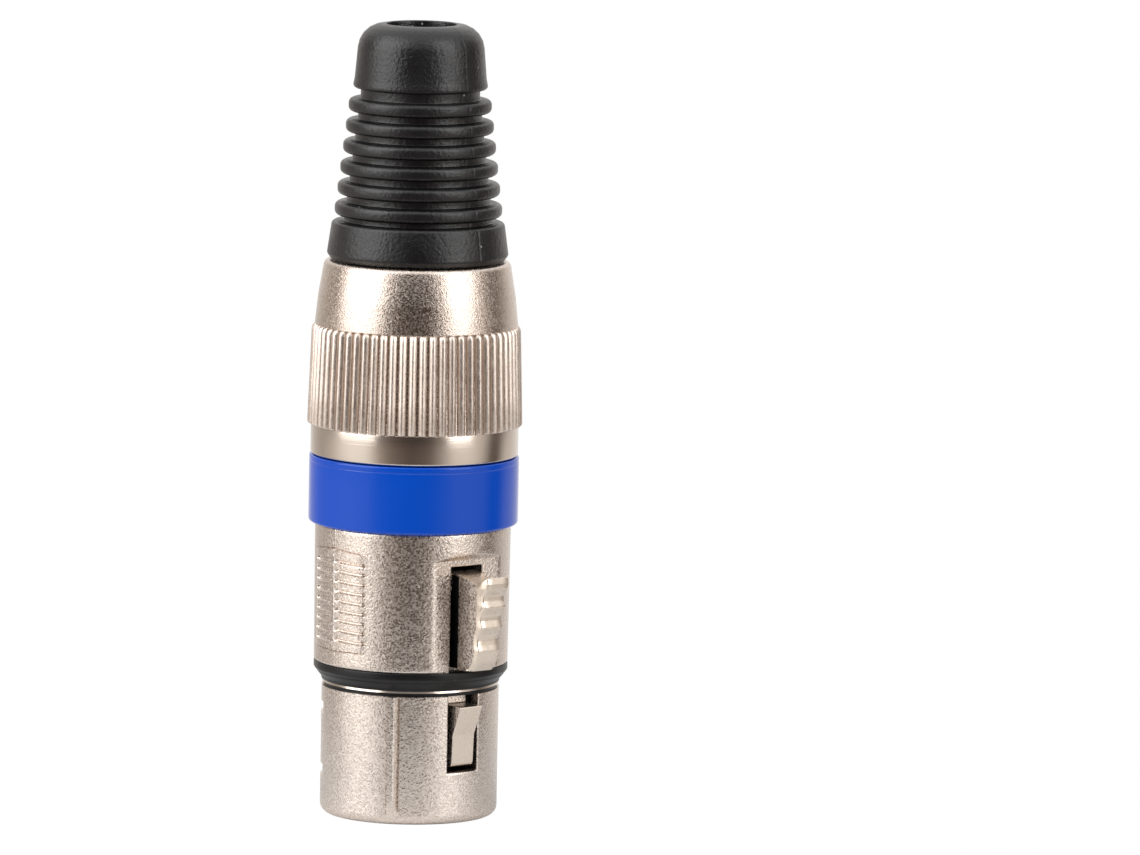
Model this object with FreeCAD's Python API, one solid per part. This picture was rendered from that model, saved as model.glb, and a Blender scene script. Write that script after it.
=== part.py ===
import FreeCAD, Part
import math
import os

# Cable plug with three socket contacts, a push latch and a screw-on back nut with a rubber boot.
# It stands on the front ring of its nose: Z runs up the cable axis and the latch faces -Y.
# All sizes are in millimetres. "Depth" is a distance from the axis towards the latch.

V = FreeCAD.Vector

# Nose of the die-cast shell, from which the other radii follow in steps
nose_radius = 8.0
nose_length = 12.2
nose_wall = 1.0
nose_edge_round = 0.45
nose_mouth_chamfer = 0.2
undercut_depth = 0.3
undercut_height = 0.35
ledge_height = 0.2
window_width = 3.35
window_sill = 4.7
key_angle = 221.0
key_base_width = 1.1
key_top_width = 0.4
key_height = 0.45
key_front = 0.6
key_end_gap = 0.35
key_runout = 1.6
key_runout_round = 3.0
side_notch_angle = 141.3
side_notch_sweep = 14.0
side_notch_depth = 0.2
side_notch_height = 0.65
side_notch_levels = (4.0, 9.6)

# Rubber gasket on its seat behind the nose
gasket_height = 1.7
gasket_seat_depth = 0.25
gasket_seat_clearance = 0.02
gasket_root_step = 0.03
gasket_root_height = 0.25
gasket_lip_step = 0.75
gasket_lip_height = 0.8
gasket_lip_slope = 0.2
gasket_groove = 0.24
gasket_round = 0.1

# Grip body of the shell and its threaded neck
body_length = 12.6
body_step = 0.74
body_flare = 0.09
body_edge_round = 0.15
body_bore_step = 0.25
shoulder_above_gasket_foot = 1.0
neck_wall = 0.65
neck_length = 11.5
neck_chamfer = 0.4

# Flat and slot for the latch
flat_cut = 0.74
flat_end_gap = 2.5
flat_end_rise = 0.7
slot_width = 3.47
slot_end_gap = 3.1
slot_corner_round = 0.3

# Ribbed grip pads on both flanks, each split by the mould's parting line
pad_half_angle = 24.8
pad_middle_gap = 6.15
pad_middle_height = 9.3
pad_side_height = 8.5
pad_relief = 0.32
pad_groove_count = 9
pad_groove_pitch = 0.887
pad_groove_width = 0.42
pad_groove_depth = 0.3
pad_groove_inner_gap = 0.3
pad_groove_outer_gap = 0.25
pad_groove_drop = 0.2
pad_groove_end_round = 0.2

# Latch lever
lever_width = 2.44
lever_strip_inset = 0.35
lever_strip_thickness = 1.0
lever_top_gap = 0.45
lever_top_length = 0.95
lever_top_round = 0.5
lever_saddle_reach = 2.9
lever_saddle_drop = 0.75
lever_toe_gap = 0.3
lever_toe_reach = 1.75
lever_toe_rise = 0.25
lever_toe_length = 0.85
lever_tail_gap = 0.5
lever_tail_inset = 0.2
lever_tail_thickness = 1.1
lever_tail_round = 0.45
hook_reach = 1.1
hook_top_gap = 1.4
hook_height = 2.7
hook_knee_inset = 0.05
hook_back_drop = 0.6

# Scalloped thumb face of the lever
thumb_reach = 4.4
thumb_top_drop = 0.2
crest_count = 4
crest_pitch = 1.88
crest_step = 0.53
crest_height = 0.62
valley_depth = 0.62
valley_drop = 0.32
valley_round = 0.4
crest_top_round = 0.26
crest_foot_round = 0.18
thumb_core_inset = 0.3
thumb_face_depth = 1.05
thumb_face_back_half = 1.31
thumb_face_front_half = 1.18
thumb_toe_reach = 0.75
thumb_toe_rise = 0.9

# Cast trunnions on which the lever turns
trunnion_radius = 0.5
trunnion_reach = 2.4
trunnion_inset = 0.35
trunnion_below_top = 1.05
running_clearance = 0.05

# Latch channel in the plastic inserts and the leaf spring in it
channel_width = 3.0
channel_behind_lever = 1.35
leaf_thickness = 0.2
leaf_width = 1.8
leaf_foot_length = 2.6
leaf_rise_length = 4.2
leaf_tip_length = 0.9
leaf_tip_return = 0.35
leaf_above_shoulder = 5.6
leaf_lever_gap = 0.1

# Plastic inserts
insert_recess = 0.4
insert_clearance = 0.05
insert_rear_length = 11.3
insert_edge_chamfer = 0.3
entry_chamfer = 0.25
cavity_clearance = 0.15

# Socket contacts: the first three are shares of the nose's radius
contact_pitch_share = 0.475
contact_bore_share = 0.1525
contact_wall_share = 0.0475
contact_spread = 70.0
contact_recess = 0.8
contact_bore_length = 10.0
contact_bore_point = 0.5
contact_front_round = 0.12
contact_slit_width = 0.35
contact_slit_length = 8.0
contact_flange_step = 0.4
contact_flange_height = 1.0
contact_stem_step = 0.1
solder_cup_length = 4.0
solder_cup_wall = 0.45
solder_cup_floor = 0.3
solder_cup_mouth_offset = 0.3
solder_cup_mouth_foot = 0.8

# Grounding strip between the shell and the first contact
strip_width = 2.0
strip_thickness = 0.25
strip_length = 8.0
strip_shell_gap = 0.02

# Coding ring
ring_step = 0.62
ring_height = 6.1
ring_edge_round = 0.3
ring_top_round = 0.15
ring_line_depth = 0.08
ring_line_drop = 0.5
ring_line_width = 0.14
neck_clearance = 0.1

# Cable chuck
chuck_clearance = 0.1
chuck_wall = 1.25
chuck_taper_length = 8.0
chuck_tip_height = 0.8
chuck_tip_land = 0.9
chuck_jaw_step = 0.2
chuck_jaw_length = 5.3
chuck_jaw_ramp = 5.0
chuck_tooth_count = 3
chuck_tooth_pitch = 1.2
chuck_tooth_depth = 0.3
chuck_first_tooth = 0.72
chuck_slit_count = 4
chuck_slit_width = 1.2
chuck_slit_below_taper = 4.0
chuck_boot_gap = 0.2

# Back nut
nut_seat_gap = 0.05
nut_band_step = 0.1
nut_band_height = 2.75
nut_band_round = 0.3
nut_mouth_chamfer = 0.4
nut_thread_length = 6.75
grip_height = 8.7
grip_step = 0.35
grip_taper = 0.3
grip_edge_round = 0.2
grip_rib_count = 64
grip_groove_depth = 0.42
grip_groove_floor = 0.1
grip_groove_flank = 0.36
grip_groove_mouth = 0.74
grip_groove_flank_height = 0.27
cone_height = 6.1
cone_step = 0.25
cone_taper = 0.8
cone_bulge = 0.11
cone_bulge_round = 6.0
cone_edge_round = 0.5
nut_lip_thickness = 1.5
nut_lip_width = 2.15
boot_seat_step = 0.8
boot_seat_height = 1.8

# Rubber boot
boot_bore_radius = 3.15
boot_flange_clearance = 0.1
boot_collar_gap = 0.1
boot_collar_inset = 0.19
boot_collar_undercut = 0.36
boot_collar_undercut_height = 0.5
boot_collar_taper = 0.41
boot_collar_height = 3.4
boot_collar_round = 0.35
boot_rib_count = 6
boot_rib_pitch = 1.87
boot_rib_thickness = 1.2
boot_rib_round = 0.5
boot_rib_root_round = 0.15
boot_rib_step = 0.23
boot_rib_taper = 0.22
boot_groove_depth = 0.85
boot_first_groove = 0.52
boot_last_groove = 0.92
boot_cap_inset = 0.1
boot_cap_taper = 0.6
boot_cap_height = 5.8
boot_cap_round = 2.2
boot_cap_foot_round = 0.4

# Levels along Z, from the nose to the boot
gasket_foot = nose_length
body_front = gasket_foot + gasket_height
body_rear = body_front + body_length
shoulder = gasket_foot + shoulder_above_gasket_foot
neck_top = body_rear + neck_length
ring_top = body_rear + ring_height
nut_foot = ring_top + nut_seat_gap
grip_foot = nut_foot + nut_band_height
grip_top = grip_foot + grip_height
nut_top = grip_top + cone_height
boot_seat_top = nut_top - nut_lip_thickness
boot_seat_foot = boot_seat_top - boot_seat_height
collar_foot = nut_top + boot_collar_gap
collar_top = collar_foot + boot_collar_height
first_rib = collar_top + boot_first_groove + boot_rib_thickness / 2
slot_end = body_rear - slot_end_gap
insert_rear_top = shoulder + insert_rear_length
boot_foot = boot_seat_foot + boot_flange_clearance
chuck_top = boot_foot - chuck_boot_gap
chuck_taper_top = chuck_top - chuck_tip_height
chuck_taper_foot = chuck_taper_top - chuck_taper_length

# Radii of the shell and what is in it, from the nose outwards and inwards
nose_bore_radius = nose_radius - nose_wall
body_bore_radius = nose_bore_radius + body_bore_step
body_front_radius = nose_radius + body_step
body_rear_radius = body_front_radius + body_flare
neck_radius = body_bore_radius + neck_wall
gasket_seat_radius = nose_radius - gasket_seat_depth
gasket_root_radius = nose_radius + gasket_root_step
gasket_lip_radius = nose_radius + gasket_lip_step
insert_front_radius = nose_bore_radius - insert_clearance
insert_rear_radius = body_bore_radius - insert_clearance
chuck_radius = body_bore_radius - chuck_clearance
contact_pitch_radius = contact_pitch_share * nose_radius
contact_bore_radius = contact_bore_share * nose_radius
contact_radius = contact_bore_radius + contact_wall_share * nose_radius
contact_flange_radius = contact_radius + contact_flange_step
contact_stem_radius = contact_radius - contact_stem_step

# Radii of the coding ring, the back nut and the boot, each stepped from the one before
ring_radius = body_rear_radius + ring_step
nut_bore_radius = neck_radius + neck_clearance
nut_band_radius = ring_radius - nut_band_step
grip_front_radius = nut_band_radius + grip_step
grip_rear_radius = grip_front_radius - grip_taper
cone_front_radius = grip_rear_radius - cone_step
cone_rear_radius = cone_front_radius - cone_taper
cone_middle_radius = (cone_front_radius + cone_rear_radius) / 2 + cone_bulge
nut_mouth_radius = cone_rear_radius - nut_lip_width
chuck_tip_radius = nut_mouth_radius - chuck_clearance
chuck_jaw_radius = boot_bore_radius + chuck_jaw_step
boot_seat_radius = nut_mouth_radius + boot_seat_step
boot_collar_radius = cone_rear_radius - boot_collar_inset
boot_collar_foot_radius = boot_collar_radius - boot_collar_undercut
boot_collar_top_radius = boot_collar_radius - boot_collar_taper
boot_rib_radius = boot_collar_top_radius - boot_rib_step
boot_neck_radius = boot_rib_radius - boot_rib_count * boot_rib_taper
boot_cap_radius = boot_neck_radius - boot_cap_inset
boot_cap_top_radius = boot_cap_radius - boot_cap_taper

# Depths and levels of the latch
flat_depth = body_front_radius - flat_cut
lever_strip_depth = nose_bore_radius - lever_strip_inset
lever_back_depth = lever_strip_depth - lever_strip_thickness
lever_saddle_depth = flat_depth + lever_saddle_reach
lever_toe_depth = flat_depth + lever_toe_reach
lever_tail_depth = nose_radius - lever_tail_inset
hook_tip_depth = nose_radius + hook_reach
hook_knee_depth = nose_radius - hook_knee_inset
thumb_depth = flat_depth + thumb_reach
channel_floor_depth = lever_back_depth - channel_behind_lever
trunnion_depth = body_bore_radius - trunnion_inset
trunnion_floor_depth = trunnion_depth - trunnion_radius - running_clearance
lever_top = slot_end - lever_top_gap
thumb_top = lever_top - thumb_top_drop
pivot_level = lever_top - trunnion_below_top
lever_toe = body_front + lever_toe_gap


def rounded_outline(corners):
    # Corners are (a, b) or (a, b, radius): a closed run of straight lines joined by tangent arcs.
    points = [V(corner[0], 0, corner[1]) for corner in corners]
    radii = [corner[2] if len(corner) > 2 else 0 for corner in corners]
    joints = []
    for i, point in enumerate(points):
        before = (points[i - 1] - point).normalize()
        after = (points[(i + 1) % len(points)] - point).normalize()
        half = before.getAngle(after) / 2
        if radii[i] == 0:
            joints.append((point, None, point))
            continue
        cut_back = radii[i] / math.tan(half)
        middle = (before + after).normalize()
        arc_point = point + middle * (radii[i] / math.sin(half) - radii[i])
        joints.append((point + before * cut_back, arc_point, point + after * cut_back))
    edges = []
    for i, (start, arc_point, end) in enumerate(joints):
        if arc_point is not None:
            edges.append(Part.Arc(start, arc_point, end).toShape())
        next_start = joints[(i + 1) % len(joints)][0]
        if end.distanceToPoint(next_start) > 1e-6:
            edges.append(Part.makeLine(end, next_start))
    return Part.Face(Part.Wire(edges))


def turned(corners):
    # Corners are (radius, level, rounding).
    return rounded_outline(corners).revolve(V(0, 0, 0), V(0, 0, 1), 360)


def side_profile(corners, width):
    # Corners are (depth, level, rounding), drawn in the plane of the latch and given a width.
    face = rounded_outline(corners)
    face.rotate(V(0, 0, 0), V(0, 0, 1), -90)
    face.translate(V(-width / 2, 0, 0))
    return face.extrude(V(width, 0, 0))


def upright(radius, low, high, x=0.0, y=0.0):
    return Part.makeCylinder(radius, high - low, V(x, y, low))


def block(x_low, x_high, y_low, y_high, z_low, z_high):
    return Part.makeBox(x_high - x_low, y_high - y_low, z_high - z_low, V(x_low, y_low, z_low))


def turned_to(shape, angle):
    copy = shape.copy()
    copy.rotate(V(0, 0, 0), V(0, 0, 1), angle)
    return copy


def around(shape, count):
    return [turned_to(shape, 360.0 * i / count) for i in range(count)]


def sector(outer, low, high, middle_angle, half_angle):
    wedge = Part.makeCylinder(outer, high - low, V(0, 0, low), V(0, 0, 1), 2 * half_angle)
    return turned_to(wedge, middle_angle - half_angle)


def save(name, shape):
    shape = shape.removeSplitter()
    if len(shape.Solids) == 1:
        shape = shape.Solids[0]
    assert shape.isValid() and len(shape.Solids) == 1, name
    shape.exportStep("parts/" + name + ".step")
    print(name, "volume", round(shape.Volume, 1))


def along_flank(face, side):
    # A face drawn in the YZ plane, run out through one flank of the body.
    return face.extrude(V(side * 2 * body_rear_radius, 0, 0))


def upright_face(corners):
    # Corners are (y, level, rounding).
    face = rounded_outline(corners)
    face.rotate(V(0, 0, 0), V(0, 0, 1), 90)
    return face


def pad_groove(level, hand):
    # One groove on one side of the parting line, falling slightly away from it.
    outer = body_rear_radius * math.sin(math.radians(pad_half_angle)) - pad_groove_outer_gap
    near, far = sorted((hand * pad_groove_inner_gap, hand * outer))
    half = pad_groove_width / 2
    near_drop, far_drop = (0, pad_groove_drop) if hand > 0 else (pad_groove_drop, 0)
    return upright_face([
        (near, level - near_drop - half, pad_groove_end_round),
        (far, level - far_drop - half, pad_groove_end_round),
        (far, level - far_drop + half, pad_groove_end_round),
        (near, level - near_drop + half, pad_groove_end_round),
    ])


def grip_pads():
    # Low pads, taller at the parting line than at their sides, with a row of grooves on each side of it.
    crest = body_rear_radius + pad_relief
    middle = body_front + pad_middle_gap
    reach = crest * math.sin(math.radians(pad_half_angle))
    tall, short = pad_middle_height / 2, pad_side_height / 2
    outline = upright_face([
        (-reach, middle - short),
        (0, middle - tall),
        (reach, middle - short),
        (reach, middle + short),
        (0, middle + tall),
        (-reach, middle + short),
    ])
    ring = upright(crest, middle - tall, middle + tall)
    ring = ring.cut(upright(body_front_radius - pad_relief, middle - tall, middle + tall))
    groove_floor = upright(crest - pad_groove_depth, middle - tall, middle + tall)
    pads = []
    for side in (1, -1):
        grooves = []
        for i in range(pad_groove_count):
            level = middle + (i - (pad_groove_count - 1) / 2) * pad_groove_pitch
            grooves += [along_flank(pad_groove(level, hand), side) for hand in (1, -1)]
        grooves = Part.makeCompound(grooves).cut(groove_floor)
        pads.append(ring.common(along_flank(outline, side)).cut(grooves))
    return pads


def key_rib():
    root = nose_radius - key_height
    crest = nose_radius + key_height
    half_base = key_base_width / 2
    half_top = key_top_width / 2
    slope = (half_base - half_top) / key_height
    half_root = half_base + slope * key_height
    top = gasket_foot - key_end_gap
    section = Part.makePolygon([
        V(root, -half_root, key_front),
        V(crest, -half_top, key_front),
        V(crest, half_top, key_front),
        V(root, half_root, key_front),
        V(root, -half_root, key_front),
    ])
    rib = Part.Face(section).extrude(V(0, 0, top - key_front))
    runout = rounded_outline([
        (crest + 1, key_front - 1),
        (crest + 1, key_front + key_runout),
        (crest, key_front + key_runout, key_runout_round),
        (nose_radius, key_front),
        (nose_radius, key_front - 1),
    ])
    runout.translate(V(0, -key_base_width, 0))
    rib = rib.cut(runout.extrude(V(0, 2 * key_base_width, 0)))
    return turned_to(rib, key_angle)


def side_notch(level):
    ring = upright(nose_radius + 1, level - side_notch_height / 2, level + side_notch_height / 2)
    ring = ring.cut(upright(nose_radius - side_notch_depth, level - 1, level + 1))
    return ring.common(sector(nose_radius + 2, level - 1, level + 1, side_notch_angle, side_notch_sweep))


def trunnion_bar(radius, reach):
    base = V(-reach, -trunnion_depth, pivot_level)
    return Part.makeCylinder(radius, 2 * reach, base, V(1, 0, 0))


def front_shell():
    ledge = gasket_foot - ledge_height
    undercut = ledge - undercut_height
    shell = turned([
        (nose_bore_radius + nose_mouth_chamfer, 0),
        (nose_radius, 0, nose_edge_round),
        (nose_radius, undercut),
        (nose_radius - undercut_depth, undercut),
        (nose_radius - undercut_depth, ledge),
        (nose_radius, ledge),
        (nose_radius, gasket_foot),
        (gasket_seat_radius, gasket_foot),
        (gasket_seat_radius, body_front),
        (body_front_radius, body_front, body_edge_round),
        (body_rear_radius, body_rear, body_edge_round),
        (neck_radius, body_rear),
        (neck_radius, neck_top - neck_chamfer),
        (neck_radius - neck_chamfer, neck_top),
        (body_bore_radius, neck_top),
        (body_bore_radius, shoulder),
        (nose_bore_radius, shoulder),
        (nose_bore_radius, nose_mouth_chamfer),
    ])
    shell = shell.fuse(grip_pads() + [key_rib()])
    window = block(-window_width / 2, window_width / 2, -2 * nose_radius, 0, window_sill, gasket_foot)
    slot = rounded_outline([
        (-slot_width / 2, body_front),
        (slot_width / 2, body_front),
        (slot_width / 2, slot_end, slot_corner_round),
        (-slot_width / 2, slot_end, slot_corner_round),
    ]).extrude(V(0, -2 * nose_radius, 0))
    flat_end = body_rear - flat_end_gap
    beyond = 2 * body_rear_radius
    flat = side_profile([
        (flat_depth, body_front),
        (beyond, body_front),
        (beyond, flat_end + flat_end_rise * (beyond - flat_depth)),
        (flat_depth, flat_end),
    ], 2 * beyond)
    pockets = trunnion_bar(trunnion_radius + running_clearance, trunnion_reach + running_clearance)
    notches = [side_notch(level) for level in side_notch_levels]
    return shell.cut([window, slot, flat, pockets] + notches)


def nose_gasket():
    seat = gasket_seat_radius + gasket_seat_clearance
    lip_foot = body_front - gasket_lip_height
    return turned([
        (seat, gasket_foot),
        (gasket_root_radius, gasket_foot),
        (gasket_root_radius, gasket_foot + gasket_root_height, gasket_round),
        (gasket_lip_radius - gasket_groove, lip_foot - gasket_lip_slope, gasket_round),
        (gasket_lip_radius - gasket_groove, lip_foot),
        (gasket_lip_radius, lip_foot + gasket_lip_slope, gasket_round),
        (gasket_lip_radius, body_front, gasket_round),
        (seat, body_front),
    ])


def thumb_line(inset):
    # The scalloped line of the thumb face, from its top crest down: the crests step back, each over a valley.
    corners = []
    for i in range(crest_count):
        depth = thumb_depth - i * crest_step - inset
        level = thumb_top - i * crest_pitch
        corners.append((depth, level, crest_top_round))
        corners.append((depth, level - crest_height, crest_foot_round))
        corners.append((depth - valley_depth, level - crest_height - valley_drop, valley_round))
    corners.append((lever_toe_depth + thumb_toe_reach - inset, lever_toe + thumb_toe_rise, valley_round))
    return corners


def thumb_face():
    # The face stands a little proud of the lever's flanks and narrows towards the thumb.
    saddle = (lever_saddle_depth, lever_top - lever_saddle_drop)
    toe = [
        (lever_toe_depth, lever_toe, crest_top_round),
        (lever_toe_depth - lever_toe_length, lever_toe + lever_toe_rise),
    ]
    back_line = thumb_line(thumb_face_depth)[2:]
    face = side_profile([saddle] + thumb_line(0) + toe + back_line[::-1], 2 * thumb_face_back_half)
    rise = lever_top - thumb_top
    front = -thumb_depth - rise * crest_step / crest_pitch
    draft = (thumb_face_back_half - thumb_face_front_half) / thumb_face_depth
    back = front + 3 * thumb_face_depth
    back_half = thumb_face_front_half + 3 * thumb_face_depth * draft
    wedge = Part.Face(Part.makePolygon([
        V(-thumb_face_front_half, front, lever_top),
        V(thumb_face_front_half, front, lever_top),
        V(back_half, back, lever_top),
        V(-back_half, back, lever_top),
        V(-thumb_face_front_half, front, lever_top),
    ]))
    wedge = wedge.extrude(V(0, crest_step, -crest_pitch) * (crest_count + 1))
    return face.common(wedge)


def latch_lever():
    hook_top = gasket_foot - hook_top_gap
    knee = hook_top - hook_height
    tail = window_sill + lever_tail_gap
    tail_back = lever_tail_depth - lever_tail_thickness
    core_top = thumb_depth - valley_depth - thumb_core_inset
    core_fall = crest_step / crest_pitch * (lever_top - lever_saddle_drop - lever_toe - thumb_toe_rise)
    profile = [
        (lever_back_depth, lever_top, lever_top_round),
        (lever_strip_depth + lever_top_length, lever_top, lever_top_round),
        (lever_saddle_depth, lever_top - lever_saddle_drop, lever_top_round),
        (core_top, lever_top - lever_saddle_drop),
        (core_top - core_fall, lever_toe + thumb_toe_rise),
        (lever_toe_depth - lever_toe_rise, lever_toe),
        (lever_toe_depth - lever_toe_length, lever_toe + lever_toe_rise),
        (lever_strip_depth, lever_toe + lever_toe_rise, lever_toe_rise),
        (lever_strip_depth, hook_top),
        (hook_tip_depth, hook_top, gasket_round),
        (hook_knee_depth, knee, 2 * lever_top_round),
        (lever_tail_depth, tail, lever_tail_round),
        (tail_back, tail, lever_tail_round / 2),
        (tail_back, knee, lever_top_round),
        (lever_back_depth, hook_top - hook_back_drop, lever_top_round),
    ]
    lever = side_profile(profile, lever_width)
    return lever.fuse([thumb_face(), trunnion_bar(trunnion_radius, trunnion_reach)])


def latch_spring():
    # A bent leaf: its foot lies on the channel floor and its tip bears on the back of the lever.
    top = shoulder + leaf_above_shoulder
    foot_end = top - leaf_foot_length
    tip_start = foot_end - leaf_rise_length
    floor = channel_floor_depth
    reach = lever_back_depth - leaf_lever_gap
    return side_profile([
        (floor, top),
        (floor + leaf_thickness, top),
        (floor + leaf_thickness, foot_end, 0.8),
        (reach, tip_start, 0.5),
        (reach - leaf_tip_return, tip_start - leaf_tip_length),
        (reach - leaf_tip_return - leaf_thickness, tip_start - leaf_tip_length),
        (reach - leaf_thickness, tip_start, 0.3),
        (floor, foot_end, 1.0),
    ], leaf_width)


def contact_places():
    # The third contact lies opposite the latch, the other two beside it.
    angles = (270.0 - contact_spread, 270.0 + contact_spread, 90.0)
    turns = [math.radians(angle) for angle in angles]
    return [(contact_pitch_radius * math.cos(t), contact_pitch_radius * math.sin(t)) for t in turns]


def latch_channel(low, high):
    half = channel_width / 2
    beyond = 2 * nose_radius
    deep = block(-half, half, -beyond, -channel_floor_depth, low, high)
    wide_half = trunnion_reach + running_clearance
    wide_top = min(high, pivot_level + trunnion_radius + running_clearance)
    wide = block(-wide_half, wide_half, -beyond, -trunnion_floor_depth, low, wide_top)
    return [deep, wide]


def insert_front():
    face = insert_recess
    seat = shoulder - contact_flange_height
    cavity = contact_radius + cavity_clearance
    body = turned([
        (0, face),
        (insert_front_radius - insert_edge_chamfer, face),
        (insert_front_radius, face + insert_edge_chamfer),
        (insert_front_radius, shoulder),
        (0, shoulder),
    ])
    cuts = latch_channel(face, shoulder)
    for x, y in contact_places():
        hole = turned([
            (0, face),
            (cavity + entry_chamfer, face),
            (cavity, face + entry_chamfer),
            (cavity, seat),
            (contact_flange_radius + insert_clearance, seat),
            (contact_flange_radius + insert_clearance, shoulder),
            (0, shoulder),
        ])
        hole.translate(V(x, y, 0))
        cuts.append(hole)
    return body.cut(cuts)


def insert_rear():
    body = turned([
        (0, shoulder),
        (insert_rear_radius, shoulder),
        (insert_rear_radius, insert_rear_top - insert_edge_chamfer),
        (insert_rear_radius - insert_edge_chamfer, insert_rear_top),
        (0, insert_rear_top),
    ])
    cuts = latch_channel(shoulder, pivot_level + trunnion_below_top + lever_top_gap)
    for x, y in contact_places():
        cuts.append(upright(contact_stem_radius + insert_clearance, shoulder, insert_rear_top, x, y))
    cuts.append(ground_strip_shape(insert_clearance))
    return body.cut(cuts)


def socket_contact(x, y):
    front = insert_recess + contact_recess
    bore_end = front + contact_bore_length
    flange_foot = shoulder - contact_flange_height
    top = insert_rear_top + solder_cup_length
    cup_bore = contact_stem_radius - solder_cup_wall
    body = turned([
        (contact_bore_radius, front),
        (contact_radius, front, contact_front_round),
        (contact_radius, flange_foot),
        (contact_flange_radius, flange_foot),
        (contact_flange_radius, shoulder),
        (contact_stem_radius, shoulder),
        (contact_stem_radius, top),
        (cup_bore, top),
        (cup_bore, insert_rear_top + solder_cup_floor),
        (0, insert_rear_top),
        (0, bore_end + contact_bore_point),
        (contact_bore_radius, bore_end),
    ])
    slit_end = front + contact_slit_length
    half = contact_slit_width / 2
    slit = block(-half, half, -2 * contact_radius, 2 * contact_radius, front, slit_end)
    cup_mouth = block(-contact_stem_radius, contact_stem_radius, solder_cup_mouth_offset,
                      2 * contact_stem_radius, insert_rear_top + solder_cup_mouth_foot, top)
    body = body.cut([slit, cup_mouth])
    outward = math.degrees(math.atan2(y, x)) - 90
    body = turned_to(body, outward)
    body.translate(V(x, y, 0))
    return body


def ground_strip_shape(growth=0.0):
    # The strip lies against the shell's bore, and its foot runs in to the first contact's stem.
    outer = insert_rear_radius - strip_shell_gap
    inner = outer - strip_thickness
    foot_reach = contact_pitch_radius + contact_stem_radius + insert_clearance
    half = strip_width / 2 + growth
    beyond = body_bore_radius if growth else outer
    leg = block(inner - growth, beyond, -half, half, shoulder, shoulder + strip_length + growth)
    foot = block(foot_reach - growth, outer, -half, half, shoulder, shoulder + strip_thickness + growth)
    strip = leg.fuse(foot)
    if not growth:
        strip = strip.common(upright(outer, shoulder, shoulder + strip_length))
    return turned_to(strip, 270.0 - contact_spread)


def coding_ring():
    line_top = ring_top - ring_line_drop
    line_foot = line_top - ring_line_width
    return turned([
        (nut_bore_radius, body_rear),
        (ring_radius, body_rear, ring_edge_round),
        (ring_radius, line_foot),
        (ring_radius - ring_line_depth, line_foot),
        (ring_radius - ring_line_depth, line_top),
        (ring_radius, line_top),
        (ring_radius, ring_top, ring_top_round),
        (nut_bore_radius, ring_top),
    ])


def cable_chuck():
    bore = chuck_radius - chuck_wall
    jaw_foot = chuck_top - chuck_jaw_length
    profile = [
        (bore, insert_rear_top),
        (chuck_radius, insert_rear_top),
        (chuck_radius, chuck_taper_foot),
        (chuck_tip_radius, chuck_taper_top),
        (chuck_tip_radius - chuck_tip_land, chuck_top),
        (chuck_jaw_radius, chuck_top),
    ]
    for i in range(chuck_tooth_count):
        level = chuck_top - chuck_first_tooth - i * chuck_tooth_pitch
        profile.append((chuck_jaw_radius, level))
        profile.append((chuck_jaw_radius + chuck_tooth_depth, level - chuck_tooth_depth))
        profile.append((chuck_jaw_radius, level - 2 * chuck_tooth_depth))
    profile.append((chuck_jaw_radius, jaw_foot))
    profile.append((bore, jaw_foot - chuck_jaw_ramp))
    half = chuck_slit_width / 2
    slit_foot = chuck_taper_foot - chuck_slit_below_taper
    slit = block(0, 2 * chuck_radius, -half, half, slit_foot, chuck_top + 1)
    return turned(profile).cut(around(slit, chuck_slit_count))


def nut_groove():
    # One valley between two ribs of the grip: steep at its floor, wide at its mouth, which rounds the ribs.
    floor = grip_front_radius - grip_groove_depth
    bend = floor + grip_groove_flank_height
    beyond = grip_front_radius + 1
    widen = (grip_groove_mouth - grip_groove_flank) / (grip_groove_depth - grip_groove_flank_height)
    outside = grip_groove_flank + widen * (beyond - bend)
    half = [(floor, grip_groove_floor / 2), (bend, grip_groove_flank / 2), (beyond, outside / 2)]
    points = [V(radius, -y, grip_foot) for radius, y in half]
    points += [V(radius, y, grip_foot) for radius, y in half[::-1]]
    groove = Part.Face(Part.makePolygon(points + points[:1])).extrude(V(0, 0, grip_height))
    lean = math.degrees(math.atan2(grip_taper, grip_height))
    groove.rotate(V(floor, 0, grip_foot), V(0, 1, 0), -lean)
    return groove.common(upright(2 * grip_front_radius, grip_foot, grip_top))


def back_nut():
    thread_end = nut_foot + nut_thread_length
    slope = (chuck_radius - chuck_tip_radius) / chuck_taper_length
    cone_start = chuck_radius + chuck_clearance - slope * (thread_end - chuck_taper_foot)
    cone_top = chuck_taper_foot + (chuck_radius + chuck_clearance - nut_mouth_radius) / slope
    nut = turned([
        (nut_bore_radius + nut_mouth_chamfer, nut_foot),
        (nut_band_radius, nut_foot, nut_band_round),
        (nut_band_radius, grip_foot),
        (grip_front_radius, grip_foot, grip_edge_round),
        (grip_rear_radius, grip_top, grip_edge_round),
        (cone_front_radius, grip_top),
        (cone_middle_radius, grip_top + cone_height / 2, cone_bulge_round),
        (cone_rear_radius, nut_top, cone_edge_round),
        (nut_mouth_radius, nut_top),
        (nut_mouth_radius, boot_seat_top),
        (boot_seat_radius, boot_seat_top),
        (boot_seat_radius, boot_seat_foot),
        (nut_mouth_radius, boot_seat_foot),
        (nut_mouth_radius, cone_top),
        (cone_start, thread_end),
        (nut_bore_radius, thread_end),
        (nut_bore_radius, nut_foot + nut_mouth_chamfer),
    ])
    return nut.cut(around(nut_groove(), grip_rib_count))


def boot_rib(level, radius):
    # One rounded rib with the floor of the groove above it.
    half = boot_rib_thickness / 2
    floor = radius - boot_groove_depth
    return [
        (floor, level - half, boot_rib_root_round),
        (radius, level - half, boot_rib_round),
        (radius, level + half, boot_rib_round),
        (floor - boot_rib_taper, level + half, boot_rib_root_round),
    ]


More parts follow.
